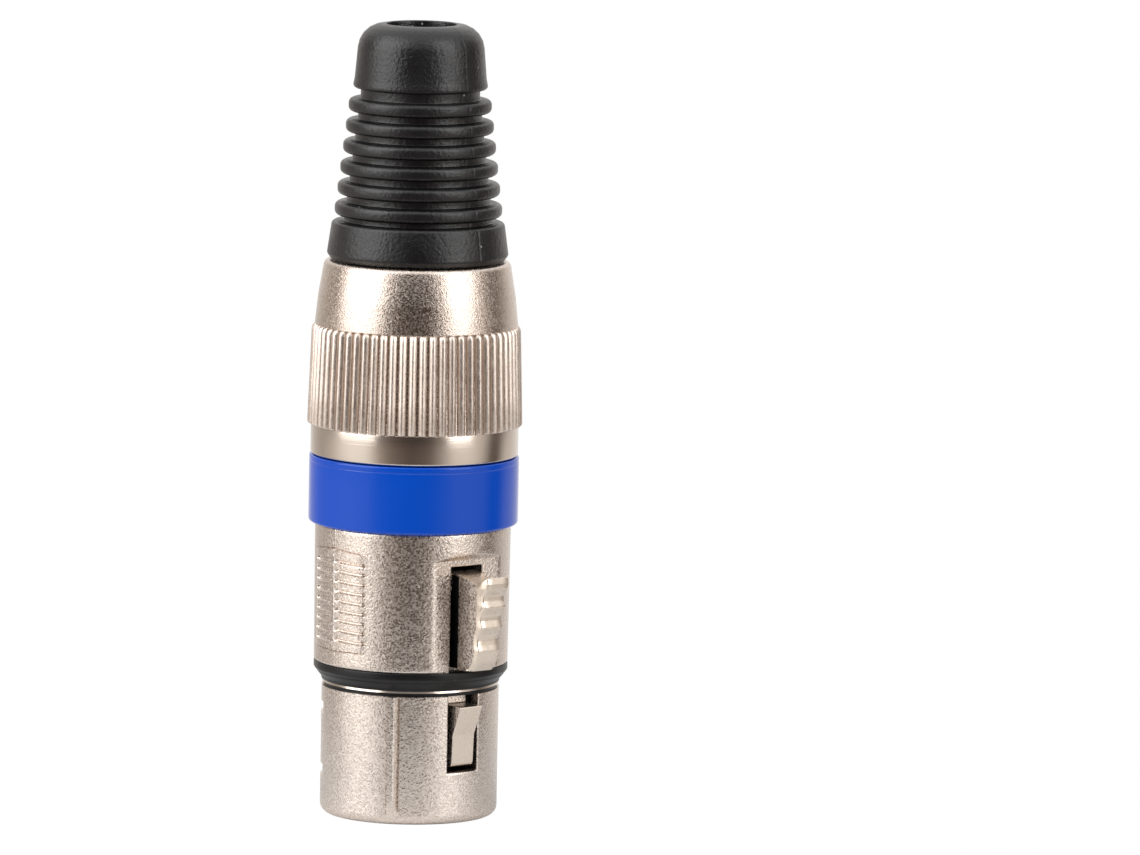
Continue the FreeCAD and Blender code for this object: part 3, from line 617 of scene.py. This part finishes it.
def buildGasket():
    seat, root, lip, line = pick(gasket, "seatRadius rootRadius lipRadius stepLine")
    lipFoot = bodyFront - gasket["lipHeight"]
    rows = rounded([
        (seat, gasketFoot), (root, gasketFoot, 0.06), (root + 0.04, gasketFoot + 0.25, 0.1),
        (lip - 0.3, lipFoot - 0.2, 0.1), (lip - 0.24, lipFoot - 0.02), (lip - 0.24 + line, lipFoot - 0.02, 0.03),
        (lip, lipFoot + 0.22, 0.14), (lip, bodyFront, 0.12), (seat, bodyFront),
    ])
    place(turned("gasketRing", rows, sealRubber), "housing", "black_rubber", "nose_gasket")
    # a black rubber ring fills the nose's undercut; its black is painted shade, so that the undercut shows as a
    # dark line
    low, high, depth = shell["undercut"]
    outside = shell["noseRadius"] - depth + gasket["shadeRingStand"]
    foot, top = low + 0.02, high - 0.02
    rows = [(outside - 0.2, foot), (outside, foot), (outside, top), (outside - 0.2, top)]
    place(turned("undercutShadeRing", rows, sealRubber), "housing", "black_rubber")
    # the nose's turned shoulder between the undercut and the gasket
    wide, narrow = shell["noseRadius"] - 0.04, shell["noseRadius"] - 0.1
    rows = [(narrow - 0.1, high), (wide, high), (narrow, gasketFoot), (narrow - 0.1, gasketFoot)]
    place(turned("noseShoulder", rows, turnedMetal), "housing", "nickel_shell")


# Latch lever: toothed thumb piece outside, strip under the gasket, hook in the window

lever = {
    "width": 2.44, "top": 22.95, "back": 5.65, "strip": 6.65, "saddle": (10.9, 22.2), "plateBack": (7.5, 23.0),
    "plateThickness": 0.24, "blockBack": 8.4, "webHalf": 1.12, "headDepth": 7.3, "headFoot": 21.3,
    "thumbLine": [(12.45, 22.98, 0.12), (12.6, 22.35, 0.2), (12.48, 21.85, 0.3), (11.98, 21.2, 0.7),
                  (11.98, 20.7, 0.3), (12.3, 20.25, 0.2), (11.68, 19.45, 0.8), (11.6, 18.95, 0.3),
                  (11.82, 18.32, 0.2), (11.3, 17.6, 0.8), (11.2, 17.1, 0.4), (11.25, 16.65, 0.3),
                  (11.42, 16.22, 0.2), (11.15, 15.2, 1.2), (10.4, 14.2, 0.2)],
    "hookTop": 10.8, "hookTip": 9.1, "knee": (7.95, 8.1), "smoothBelow": 11.4,
    "tail": (7.8, 5.2), "tailThickness": 1.1, "edge": 0.07, "faceThickness": 0.5, "faceHalfWidths": (1.26, 1.19),
    "trunnion": (6.9, 21.9, 0.5, 2.4),
}


def buildThumbFace():
    # a rounded section swept down the waved line: drafted sides, soft edges and a smooth front
    saddleDepth, saddleLevel = lever["saddle"]
    toeDepth, toeLevel, _ = lever["thumbLine"][-1]
    thick = lever["faceThickness"]
    wide, narrow = lever["faceHalfWidths"]
    line = [(saddleDepth + 0.25, saddleLevel + 0.08)] + lever["thumbLine"] + [(toeDepth - 0.6, toeLevel + 0.2)]
    line = rounded(line, 8, closed=False)
    half = [(0.0, 0.0), (narrow * 0.5, 0.0), (narrow - 0.12, 0.004), (narrow - 0.06, 0.02),
            (narrow - 0.02, 0.055), (narrow, 0.11), (wide, thick)]
    section = [(-x, inset) for x, inset in half[:0:-1]] + half
    vertices = []
    for i, point in enumerate(line):
        along = (line[min(i + 1, len(line) - 1)] - line[max(i - 1, 0)]).normalized()
        inward = Vector((along.y, -along.x))
        for x, inset in section:
            if inset < thick:
                depth, level = point + inward * inset
            else:
                depth, level = max(point.x - thick, toeDepth - 0.6), min(point.y, saddleLevel - 0.1)
                depth = min(depth, saddleDepth + 0.2)
            vertices.append(Vector((x, -depth, level)))
    count = len(section)
    faces = gridFaces(len(line), count, loopRows=False)
    faces += [list(range(count)), list(range(len(vertices) - count, len(vertices)))]
    return newObject("leverThumbFace", vertices, faces, smoothMetal, 50)


def profileMesh(name, corners, half, material, edge, steps=6):
    # a side outline (depth, level) given a width along X, with its edges rounded
    points = rounded(corners, steps)
    count = len(points)
    vertices = [Vector((side * half, -depth, level)) for side in (-1, 1) for depth, level in points]
    faces = [list(range(count)), list(range(count, 2 * count))[::-1]]
    faces += [(i, (i + 1) % count, count + (i + 1) % count, count + i) for i in range(count)]
    piece = newObject(name, vertices, faces, material, 30)
    bevel = piece.modifiers.new("edges", "BEVEL")
    bevel.width = edge * mm
    bevel.segments = 3
    bevel.limit_method = "ANGLE"
    bevel.angle_limit = math.radians(50)
    bevel.harden_normals = True
    return applyModifiers(piece)


def buildLever():
    half, headTop, skinDepth = lever["width"] / 2, lever["top"] - 0.2, lever["faceThickness"] - 0.1
    plate, back, strip, blockBack, headDepth, headFoot, hookTop, hookTip, edge = pick(
        lever, "plateThickness back strip blockBack headDepth headFoot hookTop hookTip edge")
    (kneeDepth, kneeLevel), (tailDepth, tailLevel) = pick(lever, "knee tail")
    (saddleDepth, saddleLevel), (plateDepth, plateLevel) = pick(lever, "saddle plateBack")
    toeDepth, toeLevel, _ = lever["thumbLine"][-1]
    tailBack = tailDepth - lever["tailThickness"]
    bar = [
        (back, headTop, 0.4), (headDepth, headTop, 0.2), (headDepth, headFoot, 0.3), (strip, headFoot - 0.8, 0.3),
        (strip, hookTop, 0.15), (hookTip, hookTop, 0.12), (kneeDepth, kneeLevel, 0.8),
        (tailDepth, tailLevel, 0.45), (tailBack, tailLevel, 0.25), (tailBack, kneeLevel, 0.5),
        (back, hookTop - 0.6, 0.5),
    ]
    block = [(plateDepth, plateLevel, 0.04), (saddleDepth, saddleLevel, 0.3)]
    block += [(depth - skinDepth, min(level, saddleLevel - 0.1), radius)
              for depth, level, radius in lever["thumbLine"][2:-1]]
    block += [
        (toeDepth - 0.3, toeLevel + 0.02), (toeDepth - 0.85, toeLevel, 0.1), (blockBack, toeLevel - 0.12, 0.1),
        (blockBack, plateLevel - 2 * plate, 0.1), (plateDepth, plateLevel - plate, 0.04),
    ]
    webFoot, webTop = bodyFront + 0.32, plateLevel - 0.5
    web = [(strip - 0.2, webFoot), (blockBack + 0.1, webFoot), (blockBack + 0.1, webTop), (strip - 0.2, webTop)]
    body = profileMesh("leverCasting", bar, half, castMetal, edge)
    thumbBlock = profileMesh("leverThumbBlock", block, half, castMetal, edge)
    for piece in (body, thumbBlock):
        piece.data.materials.append(smoothMetal)      # the hook and the lever's top are polished by wear
        for polygon in piece.data.polygons:
            level = polygon.center.z / mm
            if abs(polygon.normal.x) < 0.5 and (level < lever["smoothBelow"] or level > saddleLevel - 0.05):
                polygon.material_index = 1
    # the web joins the thumb piece to the bar, in the dark of the slot; its dead black colour is painted shade for
    # that dark
    webPiece = profileMesh("leverWeb", web, lever["webHalf"], slotShadeBlack, edge)
    pieces = [body, thumbBlock, webPiece, buildThumbFace()]
    depth, level, radius, reach = lever["trunnion"]
    for name, side in (("leverTrunnionLeft", -1), ("leverTrunnionRight", 1)):
        rows = [(0, half * 0.9), (radius, half * 0.9), (radius, reach - 0.08), (radius - 0.08, reach), (0, reach)]
        pin = turned(name, rows, castMetal, evenAngles(40))
        pin.data.transform(Matrix.Translation(Vector((0, -depth, level)) * mm)
                           @ Matrix.Rotation(math.radians(side * 90), 4, "Y"))
        pieces.append(pin)
    for piece in pieces:
        place(piece, "latch", "nickel_lever")
    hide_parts("latch_lever")
    print("lever made")


# Leaf spring behind the lever: its foot lies on the channel's floor and its tip bears on the lever

leaf = {
    "floor": 4.3, "reach": 5.55, "thickness": 0.2, "width": 1.8, "footLevels": (16.2, 18.8), "tipLevel": 12.0,
    "tipReturn": (0.35, 0.9), "edge": 0.03, "flattened": 0.25,
}


def buildSpring():
    floor, reach, thickness, tip = pick(leaf, "floor reach thickness tipLevel")
    (footEnd, top), (back, down) = pick(leaf, "footLevels tipReturn")
    piece = profileMesh("latchLeaf", [
        (floor, top), (floor + thickness, top), (floor + thickness, footEnd, 0.8), (reach, tip, 0.5),
        (reach - back, tip - down), (reach - back - thickness, tip - down), (reach - thickness, tip, 0.3),
        (floor, footEnd, 1.0),
    ], leaf["width"] / 2, springMetal, leaf["edge"])
    place(piece, "housing", "spring_steel", "latch_spring")
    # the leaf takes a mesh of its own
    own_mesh(piece)


# Coding ring

codingRing = {
    "radius": 9.45, "bore": 8.0, "lowerRound": 0.32, "upperRound": 0.16, "lineDrop": 0.55, "lineDepth": 0.05,
}


def buildRing():
    line = ringTop - codingRing["lineDrop"]
    radius, bore = codingRing["radius"], codingRing["bore"]
    rows = rounded([
        (bore, bodyRear, 0.1), (radius, bodyRear, codingRing["lowerRound"]), (radius, line - 0.06, 0.02),
        (radius - codingRing["lineDepth"], line, 0.02), (radius - 0.01, line + 0.08, 0.03),
        (radius, ringTop, codingRing["upperRound"]), (bore, ringTop, 0.1),
    ])
    place(turned("blueRing", rows, ringPlastic, evenAngles(200)), "housing", "blue_plastic", "coding_ring")


# Back nut: turned band, ribbed grip and cone

backNut = {
    "bore": 8.0, "bandRadius": 9.35, "bandHeight": 2.75, "gripHeight": 9.0, "gripRadii": (9.7, 9.4),
    "ribCount": 64, "ribHalf": 0.37, "ribHeight": 0.42, "ribEnd": 0.5,
    "coneRadii": (9.15, 8.86, 8.35), "mouth": 6.2, "seatRadius": 7.0, "seatHeight": 1.8, "lip": 1.5,
    "threadEnd": 6.75, "coneStart": 7.05,
}


def buildRibMesh():
    # one grip rib with a rounded crest and ends, sunk a little into the nut
    half, height, end, length, (low, high) = pick(backNut, "ribHalf ribHeight ribEnd gripHeight gripRadii")
    gripFoot = nutFoot + backNut["bandHeight"]
    # how far each section lies up the grip, and the share of its height
    stations = [(0.0, 0.5), (0.06, 0.85), (0.15, 1.0), (length * 0.33, 1.0), (length * 0.66, 1.0)]
    stations += [(length - end * (1 - math.sin(math.radians(a))), math.cos(math.radians(a)))
                 for a in (0, 30, 55, 75, 88)]
    # a rounded roof: each rib shows one bright and one shaded side
    flank = [(1.0, -0.35), (1.0, 0.1), (0.96, 0.33), (0.86, 0.5), (0.7, 0.65), (0.5, 0.79), (0.3, 0.9),
             (0.14, 0.96)]
    section = [(-across, up) for across, up in flank] + [(0.0, 0.98)] + flank[::-1]
    vertices = []
    for rise, size in stations:
        floor = low + (high - low) * (rise / length) - height
        for across, up in section:
            lift = up * height * (size if up > 0 else 1)
            vertices.append(Vector((floor + lift, across * half * (0.6 + 0.4 * size), gripFoot + rise)))
    wide = len(section)
    faces = gridFaces(len(stations), wide, False, False)
    faces += [list(range(wide)), list(range(len(vertices) - wide, len(vertices)))]
    faces += [(i * wide, (i + 1) * wide, (i + 2) * wide - 1, (i + 1) * wide - 1) for i in range(len(stations) - 1)]
    return newObject("nutRibs", vertices, faces, ribMetal, 50)


def ringOfCopies(piece, count, material):
    # geometry nodes: copies of the piece spaced evenly round Z
    tree = bpy.data.node_groups.new("ringOfRibs", "GeometryNodeTree")

    def newSocket(name, way, kind):
        return tree.interface.new_socket(name, in_out=way, socket_type="NodeSocket" + kind)

    newSocket("Geometry", "INPUT", "Geometry")
    countSocket, coatSocket = newSocket("Rib Count", "INPUT", "Int"), newSocket("Finish", "INPUT", "Material")
    newSocket("Geometry", "OUTPUT", "Geometry")
    given = addNode(tree, "NodeGroupInput").outputs
    points = addNode(tree, "GeometryNodeMeshLine", {"Count": given["Rib Count"], "Offset": (0.0, 0.0, 0.0)})
    index = addNode(tree, "GeometryNodeInputIndex")
    step = addNode(tree, "ShaderNodeMath", {0: math.tau, 1: given["Rib Count"]}, operation="DIVIDE")
    turn = addNode(tree, "ShaderNodeMath", {0: index, 1: step}, operation="MULTIPLY")
    spin = addNode(tree, "ShaderNodeCombineXYZ", {"Z": turn})
    copies = addNode(tree, "GeometryNodeInstanceOnPoints", {"Points": points, "Instance": given["Geometry"]})
    spread = addNode(tree, "GeometryNodeRotateInstances", {
        "Instances": copies, "Rotation": spin, "Local Space": False})
    real = addNode(tree, "GeometryNodeRealizeInstances", {"Geometry": spread})
    coated = addNode(tree, "GeometryNodeSetMaterial", {"Geometry": real, "Material": given["Finish"]})
    addNode(tree, "NodeGroupOutput", {"Geometry": coated})
    modifier = piece.modifiers.new("ring", "NODES")
    modifier.node_group = tree
    modifier[countSocket.identifier] = count
    modifier[coatSocket.identifier] = material
    return applyModifiers(piece)


def buildNut():
    gripFoot = nutFoot + backNut["bandHeight"]
    gripTop = gripFoot + backNut["gripHeight"]
    (low, high), (front, middle, rear) = pick(backNut, "gripRadii coneRadii")
    valley, band, bore, mouth, seat = pick(backNut, "ribHeight bandRadius bore mouth seatRadius")
    seatTop = nutTop - backNut["lip"]
    seatFoot = seatTop - backNut["seatHeight"]
    threadEnd = nutFoot + backNut["threadEnd"]
    upper = rounded([
        (low - valley + 0.02, gripFoot), (high - valley - 0.05, gripTop - 0.2, 0.08),
        (front, gripTop + 0.02, 0.07), (middle + 0.02, gripTop + (nutTop - gripTop) * 0.45, 6.0),
        (rear, nutTop, 0.5), (mouth, nutTop, 0.15),
        (mouth, seatTop), (seat, seatTop), (seat, seatFoot), (mouth, seatFoot), (mouth, seatFoot - 0.9),
        (backNut["coneStart"], threadEnd), (bore, threadEnd), (bore, gripFoot),
    ])
    place(turned("nutBody", upper, nutMetal, evenAngles(192)), "nut", "nickel_nut", "back_nut")
    bandRows = rounded([
        (bore + 0.4, nutFoot), (band, nutFoot, 0.28), (band, gripFoot, 0.05), (bore, gripFoot),
        (bore, nutFoot + 0.4),
    ])
    place(turned("nutTurnedBand", bandRows, turnedMetal, evenAngles(192)), "nut", "nickel_nut")
    place(ringOfCopies(buildRibMesh(), backNut["ribCount"], ribMetal), "nut", "nickel_nut")
    print("nut made")


# Boot: collar, six rounded ribs and a domed cap

boot = {
    "bore": 3.15, "flangeRadius": 6.9, "waistRadius": 6.1,
    "collar": (7.8, (8.16, 0.5), (7.75, 3.4)), "collarGap": 0.1, "collarRound": 0.35,
    "ribCount": 6, "ribPitch": 1.87, "firstRib": 4.52, "ribThickness": 1.2, "ribRadius": 7.52, "ribTaper": 0.22,
    "ribRound": 0.44, "grooveDepth": 0.85, "capFoot": 6.1, "capTop": 5.5, "capHeight": 5.8, "capRound": 2.3,
    "seamAngle": -84.0, "seamHalf": 0.75, "seamDepth": 0.045,
}


def buildBoot():
    collarFoot, seatTop = nutTop + boot["collarGap"], nutTop - backNut["lip"] - 0.1
    footRadius, (wideRadius, wideRise), (topRadius, collarHeight) = boot["collar"]
    bore, flange, waist, edge, wide, soft, taper, depth, cap = pick(
        boot, "bore flangeRadius waistRadius collarRound ribRadius ribRound ribTaper grooveDepth capFoot")
    collarTop, capFoot = collarFoot + collarHeight, bootTop - boot["capHeight"]
    half, small = boot["ribThickness"] / 2, 0.12
    corners = [
        (bore, bootFoot, 0.1), (flange, bootFoot, 0.2), (flange, seatTop, 0.2), (waist, seatTop),
        (waist, collarFoot), (footRadius, collarFoot, 0.1), (wideRadius, collarFoot + wideRise, edge),
        (topRadius, collarTop, edge), (wide - depth, collarTop, small),
    ]
    for i in range(boot["ribCount"]):
        level = collarFoot + boot["firstRib"] + i * boot["ribPitch"]
        radius = wide - i * taper
        corners += [(radius - depth, level - half, small), (radius, level - half, soft),
                    (radius, level + half, soft), (radius - depth - taper, level + half, small)]
    corners += [
        (wide - boot["ribCount"] * taper - depth, capFoot, small), (cap, capFoot, 0.3),
        (cap - 0.18, capFoot + 0.9, 2.0), (boot["capTop"], bootTop, boot["capRound"]), (bore, bootTop, small),
    ]
    seamColumns = [(boot["seamAngle"] + side + s) % 360
                   for side in (0, 180) for s in (-0.9, -0.6, -0.3, 0.0, 0.3, 0.6, 0.9)]
    angles = sorted(set(evenAngles(150) + seamColumns))

    def seam(radius, level, angle):
        # the mould's parting line runs down both sides
        if radius < bore + 0.2:
            return 0
        off = abs((angle - boot["seamAngle"] + 90) % 180 - 90)
        return -boot["seamDepth"] * (1 - ramp(off, 0, boot["seamHalf"]))

    piece = turned("rubberBoot", rounded(corners), rubber, angles, seam)
    place(piece, "bend_relief", "black_rubber", "boot")
    print("boot made: %d faces" % len(piece.data.polygons))


# CAD solids that keep their shape and only take a finish

def dressCad():
    finishes = [
        (insertPlastic, "insert_front insert_rear"), (chuckPlastic, "cable_chuck"),
        (contactMetal, "socket_contact_1 socket_contact_2 socket_contact_3 ground_strip"),
    ]
    for material, names in finishes:
        for node in pick(frame["nodes"], names):
            node.data.materials.clear()
            node.data.materials.append(material)


buildShell()
buildGasket()
buildLever()
buildSpring()
buildRing()
buildNut()
buildBoot()
dressCad()


# Studio: camera, lamps, floor and surroundings

camera = {"azimuth": -38.7, "elevation": 7.5, "distance": 895.6, "focal": 314.2, "roll": 1.12,
          "aimAcross": 13.98, "aimUp": 35.28}


def sideways(azimuth, elevation):
    # unit vector from the object towards a viewer; azimuth 0 is in front of the latch
    a, e = math.radians(azimuth), math.radians(elevation)
    return Vector((math.sin(a) * math.cos(e), -math.cos(a) * math.cos(e), math.sin(e)))


def makeCamera():
    back = sideways(camera["azimuth"], camera["elevation"])
    right = Vector((0, 0, 1)).cross(back).normalized()
    aim = (right * camera["aimAcross"] + Vector((0, 0, camera["aimUp"]))) * mm
    data = bpy.data.cameras.new("studioCamera")
    data.lens = camera["focal"]
    data.clip_start, data.clip_end = 0.05, 20.0
    eye = addObject("studioCamera", data)
    turn = (-back).to_track_quat("-Z", "Y").to_matrix().to_4x4()
    turn = turn @ Matrix.Rotation(math.radians(camera["roll"]), 4, "Z")
    eye.matrix_world = Matrix.Translation(aim + back * camera["distance"] * mm) @ turn
    bpy.context.scene.camera = eye


# two tall softboxes, turned from the camera's side: name, turn, width and watts
softboxes = {
    "each": [("leftSoftbox", -67, 0.86, 7.8), ("rightSoftbox", 53, 0.48, 4.3)],
    "elevation": 26.5, "distance": 0.9, "height": 0.95, "aim": Vector((0, 0, 0.035)),
}


def makeLamps():
    for name, turn, width, watts in softboxes["each"]:
        data = bpy.data.lights.new(name, "AREA")
        data.shape = "RECTANGLE"
        data.size, data.size_y = width, softboxes["height"]
        data.energy = watts
        back = sideways(camera["azimuth"] + turn, softboxes["elevation"])
        facing = back.to_track_quat("Z", "Y").to_matrix().to_4x4()
        spot = softboxes["aim"] + back * softboxes["distance"]
        addObject(name, data).matrix_world = Matrix.Translation(spot) @ facing


floorDisc = {"radius": 50.0, "sides": 96, "glow": 1.12, "glowShare": 0.8}


def makeFloor():
    # white paper under the plug; the eye sees it as white as the backdrop, with the plug's shadow on it
    mesh = bpy.data.meshes.new("floor")
    rim = [polar(floorDisc["radius"], angle, 0) * mm for angle in evenAngles(floorDisc["sides"])]
    mesh.from_pydata(rim, [], [list(range(len(rim)))])
    material = bpy.data.materials.new("White Paper Round")
    material.use_nodes = True
    tree = material.node_tree
    tree.nodes.clear()
    path = addNode(tree, "ShaderNodeLightPath")
    paper = addNode(tree, "ShaderNodeBsdfDiffuse", {"Color": linear("#F7F7F7")})
    glow = addNode(tree, "ShaderNodeEmission", {"Color": white, "Strength": floorDisc["glow"]})
    seen = addNode(tree, "ShaderNodeMath", {
        0: path.outputs["Is Camera Ray"], 1: floorDisc["glowShare"]}, operation="MULTIPLY")
    mix = addNode(tree, "ShaderNodeMixShader", {"Fac": seen, 1: paper, 2: glow})
    addNode(tree, "ShaderNodeOutputMaterial", {"Surface": mix})
    mesh.materials.append(material)
    floor = addObject("floor", mesh)


surroundings = {
    "plainLevel": 0.45, "glossLevel": 1.35, "tableLevels": (0.03, -0.13), "ceilingLevels": (0.3, 0.85),
    "room": {-180: "#E4E2E0", -150: "#C9C4BF", -128: "#A9A29C", -110: "#8A837D", -92: "#A09993",
             -50: "#918983", -36: "#574D48", -14: "#2C2522", 14: "#2C2522", 30: "#645A54",
             46: "#BDB6B0", 70: "#C9C3BD", 86: "#B9B2AC", 98: "#5A524D", 108: "#5A524D",
             126: "#A29B95", 148: "#DEDAD6", 180: "#E4E2E0"},
    "table": {-180: "#E4E2E0", -146: "#B9B3AD", -124: "#A39C96", -104: "#BDB6B0", -88: "#DFDAD6",
              -74: "#F1EDE9", -54: "#E8E4E0", -38: "#968C85", -24: "#71655E", -2: "#504743",
              20: "#665C56", 36: "#A9A29C", 48: "#D5D0CB", 68: "#D5D0CB", 84: "#B4ADA7",
              96: "#544B45", 107: "#544B45", 122: "#C0BAB4", 180: "#E4E2E0"},
}


def makeWorld():
    # white all round for the eye; metal shows the white backdrop behind the plug, a dim room on the camera's
    # side, the table's sheen under the two lamps and a white ceiling
    look = surroundings
    world = bpy.data.worlds.new("studio")
    bpy.context.scene.world = world
    world.use_nodes = True
    tree = world.node_tree
    tree.nodes.clear()
    ray = addNode(tree, "ShaderNodeLightPath").outputs
    way = addNode(tree, "ShaderNodeTexCoord").outputs["Generated"]
    turn = addNode(tree, "ShaderNodeMapping", {
        "Vector": way, "Rotation": (0, 0, math.radians(90 - camera["azimuth"]))})
    parts = addNode(tree, "ShaderNodeSeparateXYZ", {0: turn}).outputs
    angle = addNode(tree, "ShaderNodeMath", {0: parts["Y"], 1: parts["X"]}, operation="ARCTAN2")
    share = addNode(tree, "ShaderNodeMapRange", {"Value": angle, "From Min": -math.pi, "From Max": math.pi})

    def colourRound(stops):
        strip = addNode(tree, "ShaderNodeValToRGB", {"Fac": share})
        while len(strip.color_ramp.elements) < len(stops):
            strip.color_ramp.elements.new(0.5)
        for element, (degrees, colour) in zip(strip.color_ramp.elements, stops.items()):
            element.position = (degrees + 180) / 360
            element.color = linear(colour)
        return strip

    below, above = (addNode(tree, "ShaderNodeMapRange", {
        "Value": parts["Z"], "From Min": low, "From Max": high})
        for low, high in (look["tableLevels"], look["ceilingLevels"]))
    table = addNode(tree, "ShaderNodeMix", {
        "Factor": below, "A": colourRound(look["room"]), "B": colourRound(look["table"])}, data_type="RGBA")
    ceiling = addNode(tree, "ShaderNodeMix", {
        "Factor": above, "A": table.outputs["Result"], "B": white}, data_type="RGBA")
    glossy, plain, backdrop = (addNode(tree, "ShaderNodeBackground", {"Color": colour, "Strength": strength})
                               for colour, strength in ((ceiling.outputs["Result"], look["glossLevel"]),
                                                        (white, look["plainLevel"]), (white, 1.0)))
    inner = addNode(tree, "ShaderNodeMixShader", {"Fac": ray["Is Glossy Ray"], 1: plain, 2: glossy})
    seen = addNode(tree, "ShaderNodeMath", {
        0: ray["Is Camera Ray"], 1: ray["Is Transmission Ray"]}, operation="MAXIMUM")
    outer = addNode(tree, "ShaderNodeMixShader", {"Fac": seen, 1: inner, 2: backdrop})
    addNode(tree, "ShaderNodeOutputWorld", {"Surface": outer})


makeCamera()
makeFloor()
makeWorld()
makeLamps()
bpy.context.scene.view_settings.view_transform = "Standard"
print("studio ready")
